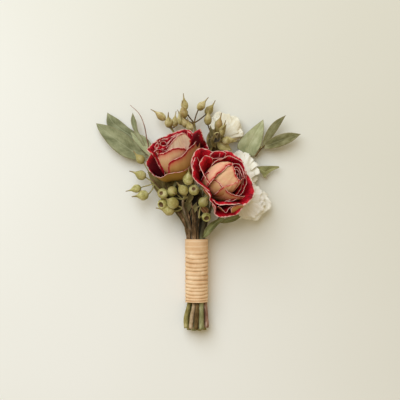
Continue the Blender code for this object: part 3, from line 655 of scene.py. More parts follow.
def roses():
    rose("right_rose", RIGHT_ROSE, {"outer": RIGHT_OUTER, "inner": RIGHT_INNER, "bud": RIGHT_BUD},
         RIGHT_HIDDEN, RIGHT_HEART, RIGHT_HEART_RINGS)
    rose("left_rose", LEFT_ROSE, {"outer": LEFT_OUTER, "front": LEFT_FRONT, "bud": LEFT_BUD},
         LEFT_HIDDEN, LEFT_ROSE, LEFT_HEART_RINGS)


# Round things: stems, hips and seed cases

ROD_SIDES = 16
THIN_SIDES = 10
NEARLY_UPRIGHT = 0.05
# The rings that close a rod, two at each end: their share of its radius, and how far out on the
# cut end they count as
CAP_RADII = (0.02, 0.9, 0.9, 0.02)
CAP_SPREAD = (0.0, 0.9, 0.9, 0.0)


def frame_about(axis):
    """Two directions square to the axis, the first one as near to straight up as it can be."""
    axis = unit(axis)
    aside = UP - (UP @ axis) * axis
    if np.linalg.norm(aside) < NEARLY_UPRIGHT:
        aside = np.array((0.0, 1.0, 0.0)) - axis[1] * axis
    aside = unit(aside)
    return aside, np.cross(axis, aside)


def tube(sheets, path, radii, sides, tone):
    """A round rod along a path. A vertex's place is (cos, sin, millimetres along), and its edge is
    (tone, 0, how far it is from the middle of a cut end, where the rod itself counts as 1)."""
    path, ways = np.asarray(path, float), unit(np.gradient(path, axis=0))
    radii = np.broadcast_to(radii, len(path)).astype(float)
    path, ways, along, radii, spread = (
        np.concatenate([part[:1], part[:1], part, part[-1:], part[-1:]])
        for part in (path, ways, gone_along(path), radii, np.ones(len(path)))
    )
    caps = [0, 1, -2, -1]
    radii[caps] *= CAP_RADII
    spread[caps] = CAP_SPREAD
    side = frame_about(ways[0])[0]
    turn = full_turn(sides)
    rings = []
    for at, way, radius in zip(path, ways, radii):
        side = unit(side - (side @ way) * way)
        rings.append(at + radius * around(turn, side, np.cross(way, side)))
    place = stacked(np.cos(turn)[:, None], np.sin(turn)[:, None], along)
    sheets.add(np.stack(rings, axis=1), place, stacked(tone, 0.0, spread), closed=True)


def turned(sheets, profile, foot, axis, sides, rings, tone=0.0, mark=0.0, bend=(0.0, 0.0)):
    """A solid turned round an axis from (radius, height) pairs, bent aside above half its height.
    Its vertices' edge is (tone, mark, how far up the profile they are)."""
    profile = smooth_line([(r, 0, h) for r, h in profile], rings)
    first, second = frame_about(axis)
    turn = full_turn(sides)
    radius, height = np.maximum(profile[:, :1], 0.01), profile[:, 2:]
    lean = np.clip(height / height.max() - 0.5, 0, 1) ** 2 * 4
    grid = (
        np.asarray(foot, float)
        + radius * around(turn, first, second)[:, None]
        + height * unit(axis)
        + lean * (bend[0] * first + bend[1] * second)
    )
    place = stacked(np.cos(turn)[:, None], np.sin(turn)[:, None], profile[:, 2])
    sheets.add(grid, place, stacked(tone, mark, np.linspace(0, 1, rings)), closed=True)


# The bundle of stems in the ribbon
BUNDLE_X = -1.3
STEM_END_Y = -82.0
STEM_END_HEIGHT = 6.6
BUNDLE_SLOPE = 0.068
STEM_PITCH = 3.3
INNER_RING = STEM_PITCH / math.sqrt(3)
OUTER_RING = 1.53 * STEM_PITCH
END_SPREAD = 1.22
NECK_Y = -16.0
WRAP_Y = (-62.3, -18.5)
STEM_STEP = 1.6
# How far from its cut end a stem reaches its own radius, how much thicker the cut end of a lower
# stem is, and how high a cut end lies at least, for its radius
CUT_TAPER = 24.0
CUT_SWELL = 1.05
CUT_HEIGHT = 1.3
# How far inside its two ends the ribbon holds the stems
HOLD_INSET = 6
# Where the waves along a stem begin to make a knot, and how much a knot swells it
KNOT_START = 0.45
KNOT_SWELL = 0.16
# The top stems' free ends: the radius at the cut, and the way up to the ribbon in pixels
FREE_ENDS = {
    170: (1.75, ((186.6, 328.0), (186.0, 318.0), (188.9, 305.0))),
    130: (1.45, ((191.0, 328.6), (192.0, 316.0), (194.0, 305.0))),
    90: (1.50, ((196.3, 329.2), (196.6, 317.0), (197.2, 305.0))),
    50: (1.90, ((201.0, 329.3), (201.0, 317.0), (201.0, 305.0))),
    10: (1.30, ((206.7, 327.5), (206.3, 316.0), (205.3, 305.0))),
}


def bundle_height(y):
    return STEM_END_HEIGHT + BUNDLE_SLOPE * (y - STEM_END_Y)


def bundle_point(slot, y, spread=1.0):
    """Where the stem in a slot of the bundle passes y. A slot is (degrees, distance from the axis)."""
    angle, distance = math.radians(slot[0]), slot[1] * spread
    x = BUNDLE_X + distance * math.cos(angle)
    return np.array((x, y, bundle_height(y) + distance * math.sin(angle)))


def stem(sheets, slot, onward, radii, tone=0.0):
    """A stem from its cut end through the ribbon and on through the given points."""
    end = bundle_point(slot, STEM_END_Y, END_SPREAD)
    cut_radius, free = FREE_ENDS.get(slot[0], (radii[0] * CUT_SWELL, ()))
    end[2] = max(end[2], CUT_HEIGHT * cut_radius)
    free = [seen(px, py, end[2]) for px, py in free] or [end]
    held = [bundle_point(slot, y) for y in (WRAP_Y[0] + HOLD_INSET, NECK_Y - HOLD_INSET, NECK_Y)]
    points = np.vstack([free, held, onward])
    length = np.linalg.norm(np.diff(points, axis=0), axis=1).sum()
    path = smooth_line(points, round(length / STEM_STEP))
    along = np.linspace(0, 1, len(path))
    knots = Waves(int(slot[0]) + 7, 26.0, 9.0, 4)(along * length)
    radius = radii[0] + (radii[1] - radii[0]) * along
    radius = radius + (cut_radius - radii[0]) * (1 - smooth_step(along * length / CUT_TAPER))
    radius = radius * (1 + KNOT_SWELL * np.clip(knots - KNOT_START, 0, 1) * 2)
    tube(sheets, path, radius, ROD_SIDES, tone)


# Each bark's dark, middle and light tones
BARKS = {
    "olive": ((0.16, 0.12, 0.03), (0.31, 0.26, 0.08), (0.56, 0.48, 0.22)),
    "tan": ((0.15, 0.08, 0.03), (0.42, 0.29, 0.15), (0.72, 0.54, 0.37)),
    "brown": ((0.035, 0.018, 0.004), (0.11, 0.06, 0.015), (0.26, 0.16, 0.055)),
    "green": ((0.13, 0.13, 0.04), (0.30, 0.28, 0.12), (0.50, 0.48, 0.25)),
    "umber": ((0.03, 0.015, 0.004), (0.13, 0.07, 0.024), (0.36, 0.22, 0.11)),
    "red": ((0.10, 0.03, 0.02), (0.34, 0.18, 0.11), (0.72, 0.53, 0.40)),
}
# The painted shade that darkens the stems in the neck, how far for each bark, and the wood at a cut end
NECK_PAINTED_SHADE = (0.028, 0.017, 0.005)
NECK_SHADE_SHARES = {"olive": 0.72, "tan": 0.72, "umber": 0.6}
PITH = (0.45, 0.33, 0.18)
WOOD = (0.16, 0.10, 0.04)


def bark(name, tint):
    """A dried stem: drawn-out streaks, painted shade where it leaves the ribbon, and a pale cut end."""
    dark, middle, light = BARKS[tint]
    shader = Shader(name, 0.75, 0.2)
    (x, y, along), (tone, _, spread) = shader.sheet()
    streak = shader.noise((x * 3.0, y * 3.0, along * 0.22), 1.0, 4.0)
    patch = shader.noise((x, y, along + tone * 60.0), 0.16, 2.0)
    skin = shader.ramp(streak * 0.6 + patch * 0.4, (0.36, dark), (0.50, middle), (0.62, light))
    # Painted shade on the stems in the neck, just past the ribbon
    neck_shade = along.between(56.0, 68.0) * along.between(82.0, 96.0, 1.0, 0.0)
    skin = shader.mix(neck_shade * NECK_SHADE_SHARES.get(tint, 0.92), skin, NECK_PAINTED_SHADE)
    wood = shader.mix(spread.between(0.25, 0.75), PITH, WOOD)
    return shader.made(shader.mix(spread.between(0.86, 0.97), wood, skin), streak, 0.3)


ROSE_STEM_RADII = (1.5, 1.35)
CARNATION_STEM_RADII = (1.45, 1.2)
HIP_HEIGHT = 8.0
HIP = ((0.02, 0.0), (1.5, 0.1), (2.6, 1.2), (3.6, 3.4), (3.7, 6.0), (2.9, 7.6), (0.02, 7.9))
HIP_CELLS = (20, 12)
STEM_STRAIGHT = 2.2
STEM_SINK = 1.2
SEPAL_TURNS = (0, 72, 144, 216, 288)
SEPAL_SEED = 31
SEPAL_CELLS = (9, 22)
# Where on the hip a sepal starts: how far from the axis, and how high
SHOULDER = (2.4, 5.3)
SEPAL_LENGTH = 11.0
SEPAL_WIDTH = 4.2
SEPAL_THICK = 0.5
SEPAL_SOFTENING = 1.5
SEPAL_TINTS = ((0.16, 0.15, 0.05), (0.27, 0.25, 0.10), (0.36, 0.33, 0.16))


def sepal(sheets, foot, axis, turn, seed):
    """A narrow sepal that starts on the hip's shoulder and bends back to the stem."""
    first = unit(np.array((1.0, 0, 0)) - axis[0] * axis)
    wide, long = SEPAL_CELLS
    u, v = np.meshgrid(np.linspace(-1, 1, wide), np.linspace(0, 1, long), indexing="ij")
    half = 0.5 * SEPAL_WIDTH * (1 - 0.92 * v) * (0.75 + 0.9 * v * (1 - v))
    bend = np.radians(15 - 62 * v)
    x = SHOULDER[0] + SEPAL_LENGTH * v * np.cos(bend * 0.5)
    y = u * half + 0.5 * Waves(seed, 9.0, 5.0, 3)(v * SEPAL_LENGTH) * v
    z = SHOULDER[1] + SEPAL_LENGTH * v * np.sin(bend) - 0.3 * u * u * half
    out = around(math.radians(turn), first, np.cross(axis, first))
    grid = foot + x[..., None] * out + y[..., None] * np.cross(axis, out) + z[..., None] * axis
    grid[..., 2] = 0.4 + 0.5 * (grid[..., 2] + np.hypot(grid[..., 2], SEPAL_SOFTENING))
    place = stacked(y, v * SEPAL_LENGTH, seed % 7 / 7)
    sheets.add(grid, place, stacked(half * (1 - abs(u)), abs(u), v))


def rose_stem(name, bloom, slot, path, first_turn):
    """A rose's stem, with the hip and the sepals under the bloom."""
    foot = bloom.base - bloom.axis * HIP_HEIGHT
    onward = [*path, foot - bloom.axis * STEM_STRAIGHT, foot + bloom.axis * STEM_SINK]
    rod, sepals = Sheets(), Sheets()
    stem(rod, slot, onward, ROSE_STEM_RADII)
    turned(rod, HIP, foot, bloom.axis, *HIP_CELLS)
    rod.finish(name + "_rod", name, [bark(name + "_bark", "green")])
    for k, turn in enumerate(SEPAL_TURNS):
        sepal(sepals, foot, bloom.axis, first_turn + turn, SEPAL_SEED + k)
    skin = leaf_skin(name + "_sepal", *SEPAL_TINTS)
    sepals.finish(name + "_sepals", name, [skin] * 3, SEPAL_THICK)


def rose_stems():
    rose_stem("right_rose_stem", RIGHT_ROSE, (50, OUTER_RING), ((4, -6, 13.6), (6, 4, 11.6)), 20)
    rose_stem("left_rose_stem", LEFT_ROSE, (150, INNER_RING), ((-4, -6, 11.5), (-6.2, 5, 8.2)), 10)


# Leaves

LEAF_THICK = 0.3
LEAF_CELLS = (15, 40)
LEAF_LOWEST = 0.2
LEAF_WAVE = 0.35
BROWN_MARGIN = (0.30, 0.22, 0.10)


def leaf_skin(name, dark, middle, light, vein=0.16):
    """A dried leaf: blotches, a paler midrib with side veins, and a browned margin."""
    shader = Shader(name, 0.72, 0.25)
    (x, y, tone), edge = shader.sheet()
    shift = tone * 50.0
    blotch = shader.noise((x, y * 0.45, shift), 0.25, 4.0)
    grain = shader.noise((x, y, shift), 2.6)
    skin = shader.ramp(blotch * 0.86 + grain * 0.14, (0.36, dark), (0.50, middle), (0.64, light))
    rib = abs(x).between(0.12, 0.42, 1.0, 0.0)
    wave = shader.math("SINE", (y - abs(x) * 1.3) * 2.3 + blotch * 5.0)
    lines = shader.math("MAXIMUM", rib * (2.8 * vein), wave.between(0.80, 1.0) * vein)
    skin = shader.mix(lines, skin, tuple(1.15 * c + 0.03 for c in light))
    skin = shader.mix(edge[0].between(0.05, 0.5, 0.6, 0.0), skin, BROWN_MARGIN)
    return shader.made(skin, grain * 0.25 - lines, 0.18)


def leaf(sheets, left, right, seed, foot_z, tip_z, arch, fold=0.12):
    """A leaf between two margins, each given in pixels from foot to tip."""
    wide, long = LEAF_CELLS
    u = np.linspace(-1, 1, wide)[:, None]
    v = np.linspace(0, 1, long)
    left, right = (smooth_line([(px, py, 0.0) for px, py in side], long) for side in (left, right))
    pixels = left * (1 - u[..., None]) / 2 + right * (1 + u[..., None]) / 2
    half = np.linalg.norm(right - left, axis=1) * PIXEL / 2
    length = gone_along(pixels[wide // 2]) * PIXEL
    x = u * half
    height = foot_z + (tip_z - foot_z) * v + arch * np.sin(math.pi * v)
    height = height + fold * abs(u) * half
    height = height + LEAF_WAVE * Waves(seed, 16.0, 6.0, 5)(x, length) * np.minimum(1, half / 3)
    grid = seen(pixels[..., 0], pixels[..., 1], np.maximum(height, LEAF_LOWEST))
    place = stacked(x, length, tone_of(seed))
    edge = stacked(half * (1 - abs(u)), abs(u), v)
    across = (grid[-1] - grid[0]).mean(axis=0)
    along = (grid[:, -1] - grid[:, 0]).mean(axis=0)
    order = 1 if np.cross(across, along)[2] > 0 else -1
    sheets.add(grid[:, ::order], place[:, ::order], edge[:, ::order])


BLADE_TINTS = {
    "olive": ((0.15, 0.155, 0.065), (0.235, 0.24, 0.115), (0.34, 0.34, 0.18)),
    "dark": ((0.09, 0.085, 0.025), (0.17, 0.155, 0.055), (0.29, 0.27, 0.13), 0.09),
    "moss": ((0.19, 0.18, 0.06), (0.29, 0.275, 0.10), (0.40, 0.38, 0.17)),
    "sage": ((0.28, 0.295, 0.135), (0.395, 0.40, 0.20), (0.51, 0.51, 0.29), 0.12),
}
UNDERSIDE_TINTS = ((0.20, 0.19, 0.09), (0.30, 0.29, 0.15), (0.40, 0.38, 0.22))
TWIG_RADII = (1.4, 0.7)
# Each leaf: its tint, its two margins in pixels, the heights of its foot and tip, and its arch
LEFT_TWIG = {
    "slot": (210, OUTER_RING),
    "path": ((-10, -4, 6), (-21, 14, 3.2), (-29.5, 30, 3.6), (-34, 39, 4.5)),
    "leaves": (
        # The big one in front, and the olive one behind it
        ("olive", ((147, 157), (141.7, 150.3), (136.5, 143.4), (128.8, 136.5), (119.3, 130.5), (107, 125.3),
          (96, 123.2)),
         ((147, 157.6), (135.7, 159.8), (131.3, 159.3), (122.7, 156.3), (113.3, 149.4), (105.5, 140.8),
          (98.6, 130.5), (96, 123.2)), 5, 4.5, 2),
        ("olive", ((146, 154), (141, 141), (133.9, 131.3), (128.8, 127.9), (118.4, 119.3), (107.2, 112.6)),
         ((146, 155), (136, 147), (124, 138), (113, 130.5), (106.8, 124), (107.2, 112.6)), 4.3, 0.8, 0),
        ("olive", ((147, 152), (138, 138), (133.5, 130), (130.8, 121), (132.6, 112.6)),
         ((148.4, 152), (142, 138), (137.8, 130), (136.2, 121), (132.6, 112.6)), 4.5, 6.5, 1),
        ("sage", ((152, 158), (142, 150), (134, 141), (131.5, 135), (130.5, 132)),
         ((153, 158), (152.5, 150), (150, 142), (143, 135.5), (130.5, 132)), 4.5, 4, 1),
    ),
}
RIGHT_TWIG = {
    "slot": (330, OUTER_RING),
    "path": ((7, -2, 6.2), (13, 15, 3.2), (19.5, 33, 3), (28, 40.5, 3), (37, 41.5, 4), (44.6, 45.4, 6)),
    "leaves": (
        ("sage", ((250, 156), (241.5, 151), (237.3, 148), (238.1, 143), (243.1, 136.4), (253, 127.3),
          (263.4, 119.4)),
         ((250.4, 156), (255, 155.5), (258, 151), (261.3, 144.7), (263.4, 134.8), (264, 126.5),
          (263.4, 119.4)), 4, 6.5, 1.2),
        ("dark", ((261.8, 147.5), (263.5, 139), (268, 129), (275, 121), (286, 115)),
         ((262.6, 147.8), (270, 140), (276, 132), (281, 124), (286, 115)), 6, 9, 0.8),
        ("dark", ((262, 147), (268, 140.5), (278, 135), (289, 132.5), (301, 134)),
         ((262.3, 148), (270, 149), (281, 146.5), (292, 141.5), (301, 134)), 6, 8, 1.2),
        ("moss", ((250, 160.5), (257, 166.4), (262, 166), (270.4, 165.8), (278.7, 166.3), (279, 168)),
         ((249.5, 162), (257, 169), (261.8, 174), (264.6, 178), (267.5, 174.4), (272.9, 170.6),
          (279, 168)), 5, 4, 0.5),
    ),
}
# The thin rod beside each twig's leaves: its name and bark, its points, its radii at both ends,
# how many points to draw, and its tone
TENDRIL = (
    "tendril", "red",
    ((-33.5, 40, 4.6), (-36, 51.8, 7), (-37.6, 60, 8), (-41, 68, 8.5), (-47.3, 74.2, 8.5)),
    (0.5, 0.2), 40, 0.5,
)
DARK_STALK = (
    "dark_stalk", "brown",
    (seen(255.2, 156.5, 7.2), seen(258.6, 151.6, 7.6), seen(262.4, 147.6, 7.4), seen(264.5, 145.5, 6.6)),
    (0.65, 0.4), 20, 0.3,
)


def thin_rod(sheets, points, radii, count, tone):
    tube(sheets, smooth_line(points, count), np.linspace(*radii, count), THIN_SIDES, tone)


def leafy_twig(side, twig, thin, rod_skin, skins, under):
    """A twig, the thin rod beside it, and its leaves as a piece for each tint."""
    node = side + "_leafy_twig"
    rod, thin_part = Sheets(), Sheets()
    stem(rod, twig["slot"], twig["path"], TWIG_RADII)
    rod.finish(side + "_twig", node, [rod_skin])
    name, tint, *shape = thin
    thin_rod(thin_part, *shape)
    thin_part.finish(name, node, [bark(name + "_bark", tint)])
    for kind in sorted({tint for tint, *_ in twig["leaves"]}):
        blades = Sheets()
        for k, (tint, left, right, foot_z, tip_z, arch) in enumerate(twig["leaves"]):
            if tint == kind:
                leaf(blades, left, right, 11 * k + len(side), foot_z, tip_z, arch)
        blades.finish(f"{side}_{kind}_leaves", node, [skins[kind], under, under], LEAF_THICK)


def leafy_twigs():
    skins = {kind: leaf_skin(kind + "_leaf", *tints) for kind, tints in BLADE_TINTS.items()}
    under = leaf_skin("leaf_underside", *UNDERSIDE_TINTS)
    rod_skin = bark("twig_bark", "olive")
    leafy_twig("left", LEFT_TWIG, TENDRIL, rod_skin, skins, under)
    leafy_twig("right", RIGHT_TWIG, DARK_STALK, rod_skin, skins, under)


# Eucalyptus: a branch, its stalks and its seed cases. A cluster is the point of the branch that
# its stalks leave, and each seed case's middle and the way that its beak points.
SEED = ((0.55, 0), (1.5, 0.35), (2.6, 1.3), (3.2, 3), (3.2, 4.4), (2.75, 5.3), (2.55, 5.45),
        (1.9, 6.5), (1.05, 7.5), (0.62, 8.6), (0.42, 10.2), (0.30, 11.6), (0.02, 12))
# One whose lid has dropped off, and one with only a dimple where its beak was
OPEN_SEED = ((0.55, 0), (1.5, 0.35), (2.6, 1.3), (3.2, 3), (3.2, 4.6), (2.75, 5.7), (2.2, 6.2),
             (1.85, 6.1), (1.7, 5.4), (0.9, 4.8), (0.02, 4.7))
DIMPLED_SEED = ((0.55, 0), (1.5, 0.35), (2.6, 1.3), (3.2, 3), (3.2, 4.4), (2.75, 5.6), (2, 6.3),
                (1.2, 6.45), (0.85, 6.2), (0.5, 5.9), (0.02, 5.8))
OPEN_CASES = ((-24.2, 5.8, 18), (5.4, -3.4, 18.6), (12.6, 52, 22.5))
DIMPLED_CASES = ((-2.9, 15.2, 24.5), (-24.1, 12.7, 19))
SEED_MIDDLE = 3.9
SEED_CELLS = (26, 26)
SEED_DRAWS = 5
# How wide a seed case is for its length, as a share of the profile
UPPER_WAIST = (0.74, 0.90)
LOWER_WAIST = (0.95, 1.05)
LENGTHS = (0.93, 1.06)
MIDDLE_GROWTH = 1.12
LEAN = 0.8
STALK_RADII = (0.5, 0.42)
STALK_POINTS = 14
SPRAY_BARKS = {"middle": "tan", "low": "brown"}
GREEN_TINTS = ((0.25, 0.21, 0.04), (0.43, 0.39, 0.12), (0.68, 0.61, 0.28), (0.36, 0.26, 0.07))
OCHRE_TINTS = ((0.24, 0.17, 0.04), (0.43, 0.35, 0.12), (0.66, 0.56, 0.28), (0.34, 0.19, 0.05))
SEED_JOINT = (0.20, 0.13, 0.04)
SEED_BEAK = (0.22, 0.13, 0.05)
SEED_HOLLOW = (0.13, 0.06, 0.015)
SEED_ROOT = (0.26, 0.20, 0.07)
# A spray is its side, its slot in the bundle, its branch's radii at both ends, the branch's way
# past the ribbon, and its clusters.
SPRAYS = (
    ("left", (170, OUTER_RING), (1.4, 0.7), ((-11, -6, 12.8), (-22, 9, 12), (-30.5, 19.6, 11)), (
        ((-30.5, 19.6, 11), (
            ((-39.9, 25.6, 10.5), (-0.90, 0.40, 0.10)),
            ((-43.4, 16.1, 10), (-0.96, -0.27, 0.05)),
            ((-38.2, 11.6, 13), (-0.90, -0.10, 0.40)),
            ((-40.3, 36.8, 13.5), (-0.70, 0.72, 0.10)),
        )),
    )),
    ("middle", (130, OUTER_RING), (1.4, 0.8), ((-7, -7, 17.5), (-10.5, 3, 19.5), (-10.5, 8.5, 20.5)), (
        ((-10.5, 8.5, 20.5), (
            ((-24.1, 12.7, 19), (-0.35, 0.10, 0.92)),
            ((-17.7, 14.4, 22.5), (0.20, -0.25, 0.95)),
            ((-10.3, 15.2, 24), (-0.50, 0.60, 0.60)),
            ((-2.9, 15.2, 24.5), (-0.10, 0.25, 0.95)),
            ((-7, 22.4, 26.5), (0.08, 0.80, 0.55)),
        )),
        ((-10.5, 3, 19.5), (
            ((-17.2, 6.3, 23), (-0.60, 0.35, 0.70)),
            ((-24.2, 5.8, 18), (-0.50, -0.25, 0.80)),
            ((-20.3, 1.3, 18), (-0.97, 0.20, 0)),
        )),
    )),
    ("low", (90, OUTER_RING), (1.3, 0.7), ((-0.9, -8, 18.6), (0.4, -4, 19.8)), (
        ((0.4, -4, 19.8), (
            ((3.4, 7.2, 24), (0.45, 0.60, 0.65)),
            ((5.4, -3.4, 18.6), (0.10, -0.45, 0.88)),
        )),
    )),
    ("upper_left", (250, OUTER_RING), (1.3, 0.7),
     ((-3.4, -3, 3.9), (-3.6, 16, 2.4), (-4.5, 32, 2.2), (-11, 47, 2.7), (-20, 59.5, 6.6)), (
        ((-20, 59.5, 7), (
            ((-26, 66.4, 8.5), (-0.78, 0.63, 0.05)),
            ((-20.3, 61.5, 14.5), (-0.10, 0.75, 0.60)),
            ((-16.4, 63, 6), (0.05, 0.99, 0.05)),
        )),
    )),
    ("upper_middle", (270, INNER_RING), (1.3, 0.7),
     ((-0.4, -3, 7.8), (1.5, 15, 5.4), (1.8, 35, 5.5), (-1, 50, 7.4), (-3, 61.6, 9.5)), (
        ((-3, 61.6, 9.5), (
            ((-9.6, 74.1, 12.5), (-0.12, 1, 0.05)),
            ((-12.4, 64, 8.5), (-0.20, 0.95, -0.10)),
            ((-10.2, 68.4, 13), (-0.12, 0.97, 0.20)),
            ((2.1, 73.5, 11), (0.62, 0.78, 0)),
            ((7.4, 70.8, 6.5), (0.60, 0.80, 0)),
            ((-9.4, 61.4, 14.5), (-0.30, 0.70, 0.60)),
            ((-6, 58.6, 15.5), (-0.25, 0.80, 0.55)),
        )),
    )),
    ("upper_right", (30, INNER_RING), (1.3, 0.7),
     ((2, -4, 11), (4, 12, 8.2), (4.6, 30, 9.4), (8, 42, 13), (11.5, 50, 16)), (
        ((11.5, 50, 16), (
            ((6.5, 63.5, 18), (0.05, 0.98, 0.15)),
            ((13.8, 60.2, 18.5), (0.25, 0.95, 0.15)),
            ((15.8, 55.6, 20.5), (0.42, 0.86, 0.25)),
            ((19.6, 49, 20.5), (0.98, 0.15, 0.10)),
            ((12.6, 52, 22.5), (0.10, 0.25, 0.96)),
        )),
    )),
)


def seed_skin(name, dark, middle, light, blush):
    """A seed case: blotched and speckled, with a darker joint and a brown beak tip. Its mark is 1
    where it is open and 0.5 where it has a dimple."""
    shader = Shader(name, 0.5, 0.4)
    (x, y, height), (tone, mark, share) = shader.sheet()
    shift = tone * 70.0
    x, y = x * 2.2, y * 2.2
    where = (x, y, height + shift)
    patch = shader.noise(where, 0.30)
    speck = shader.noise(where, 2.4)
    skin = shader.ramp(patch * 0.85 + speck * 0.15, (0.34, dark), (0.47, middle), (0.62, light))
    dull = shader.noise((shift, 0.0, 0.0), 0.37, 0.0)
    skin = shader.mix(dull.between(0.42, 0.62, 0.0, 0.5), skin, dark)
    flush = shader.noise((y, shift, x), 0.22, 2.0)
    skin = shader.mix(flush.between(0.50, 0.72, 0.0, 0.7), skin, blush)
    joint = abs(share - 0.45).between(0.004, 0.022, 1.0, 0.0) * 0.38
    skin = shader.mix(joint, skin, SEED_JOINT)
    beak = share.between(0.66, 0.98) * 0.85
    skin = shader.mix(beak * (1.0 - mark), skin, SEED_BEAK)
    hollow = (share + mark * 0.12).between(0.90, 0.96) * mark.between(0.0, 0.5)
    skin = shader.mix(hollow, skin, SEED_HOLLOW)
    skin = shader.mix(share.between(0.0, 0.08, 0.5, 0.0), skin, SEED_ROOT)
    return shader.made(skin, speck, 0.07)


def seed_case(cases, stalks, joint, middle, way, side, draw):
    """One seed case, and the stalk that bears it."""
    shape, mark = SEED, 0.0
    if middle in OPEN_CASES:
        shape, mark = OPEN_SEED, 1.0
    elif middle in DIMPLED_CASES:
        shape, mark = DIMPLED_SEED, 0.5
    way = unit(way)
    foot = middle - way * SEED_MIDDLE
    bend = 0.4 * np.array(joint) + 0.6 * foot - way * 0.8
    thin_rod(stalks, [joint, bend, foot + way * 0.3], STALK_RADII, STALK_POINTS, draw.uniform())
    length = draw.uniform(*LENGTHS) * (MIDDLE_GROWTH if side == "middle" else 1.0)
    width = length * draw.uniform(*UPPER_WAIST if "upper" in side else LOWER_WAIST)
    profile = [(r * width, h * length) for r, h in shape]
    lean = draw.uniform(-LEAN, LEAN, 2) * (shape is SEED)
    turned(cases, profile, foot, way, *SEED_CELLS, draw.uniform(), mark, lean)


def seed_sprays():
    green = seed_skin("green_seed_case", *GREEN_TINTS)
    ochre = seed_skin("ochre_seed_case", *OCHRE_TINTS)
    barks = {tint: bark("spray_bark_" + tint, tint) for tint in ("olive", "tan", "brown")}
    draw = np.random.default_rng(SEED_DRAWS)
    for side, slot, radii, path, clusters in SPRAYS:
        upper = "upper" in side
        node = side + "_seed_spray"
        rod, stalks, cases = Sheets(), Sheets(), Sheets()
        stem(rod, slot, path, radii, tone=slot[0] / 360)
        for joint, seeds in clusters:
            for middle, way in seeds:
                seed_case(cases, stalks, joint, middle, way, side, draw)
        rod.finish(side + "_spray", node, [barks[SPRAY_BARKS.get(side, "olive")]])
        stalks.finish(side + "_stalks", node, [barks["brown" if upper else "olive"]])
        cases.finish(side + "_seed_cases", node, [ochre if upper else green])


# Dried scraps of leaf and thin stalks that fill the neck of the bouquet and the upper right spray. The
# near-black scraps with the 'dark' skin are painted shade in their deepest gaps.
# A scrap is its skin, two margins in pixels from foot to tip, and the heights of its foot and tip.
NECK_SCRAPS = (
    ("dark", ((199.5, 240), (198.2, 228), (200.5, 214)),
     ((204.5, 240), (207, 228), (207.5, 216)), 12.5, 12),
    ("dark", ((188.5, 240), (186.5, 228), (184.5, 214)),
     ((193, 240), (193.5, 228), (194.5, 212)), 12.5, 13),
    ("dark", ((192, 222), (190.5, 210), (192, 196)), ((199, 222), (200.5, 210), (201, 197)), 14, 15.5),
    ("olive", ((184, 216), (181.5, 209), (184, 203), (190.5, 200)),
     ((186.5, 216), (189.5, 211), (192, 205), (190.5, 200)), 15, 18),
    ("olive", ((190, 214), (192.5, 207), (196.5, 202)),
     ((193, 215), (197.5, 209), (196.5, 202)), 15.5, 18.5),
    ("olive", ((187, 239.5), (184.6, 229), (184.5, 220), (181, 211)),
     ((190.5, 239.5), (189, 229), (187, 219), (181, 211)), 12, 16.5),
    ("dark", ((181, 213), (172, 204), (169, 193)), ((190, 214), (184, 200), (176, 190)), 12, 12),
    ("dark", ((190, 214), (186, 202), (184, 190)), ((203, 216), (204, 202), (199, 188)), 13, 13.5),
    ("olive", ((184, 209), (176.5, 206), (167, 199)), ((182, 212), (174, 210.5), (167, 199)), 15, 16.5),
    ("olive", ((186, 202), (187.5, 196), (190.5, 191)),
     ((190, 203), (193.5, 197), (190.5, 191)), 18, 21.5),
    ("russet", ((200, 208), (202.5, 212), (207.5, 215)),
     ((203.5, 206), (208.5, 209), (207.5, 215)), 20, 18.5),
    ("umber", ((174, 212), (162, 199), (152.5, 186), (149.5, 178.5)),
     ((179, 212), (168, 197), (158.5, 185.5), (149.5, 178.5)), 12.5, 9.5),
    ("umber", ((180, 210), (170, 196), (161, 182)), ((187, 210), (177, 193), (161, 182)), 12.5, 10.5),
    ("dark", ((178, 204), (171.5, 193), (170.5, 182)), ((190, 204), (185, 192), (170.5, 182)), 12, 9.5),
    ("umber", ((186, 206), (181, 194), (180.5, 183)), ((197, 206), (196, 194), (180.5, 183)), 13, 10),
    ("umber", ((177, 212), (163.5, 197), (151.5, 181), (147.5, 172)),
     ((183, 208), (172, 193), (162, 180), (156.5, 171)), 12, 8.5),
    ("umber", ((172, 203), (164, 190), (160.5, 174)), ((188, 203), (186, 188), (184, 172)), 11.5, 9),
)
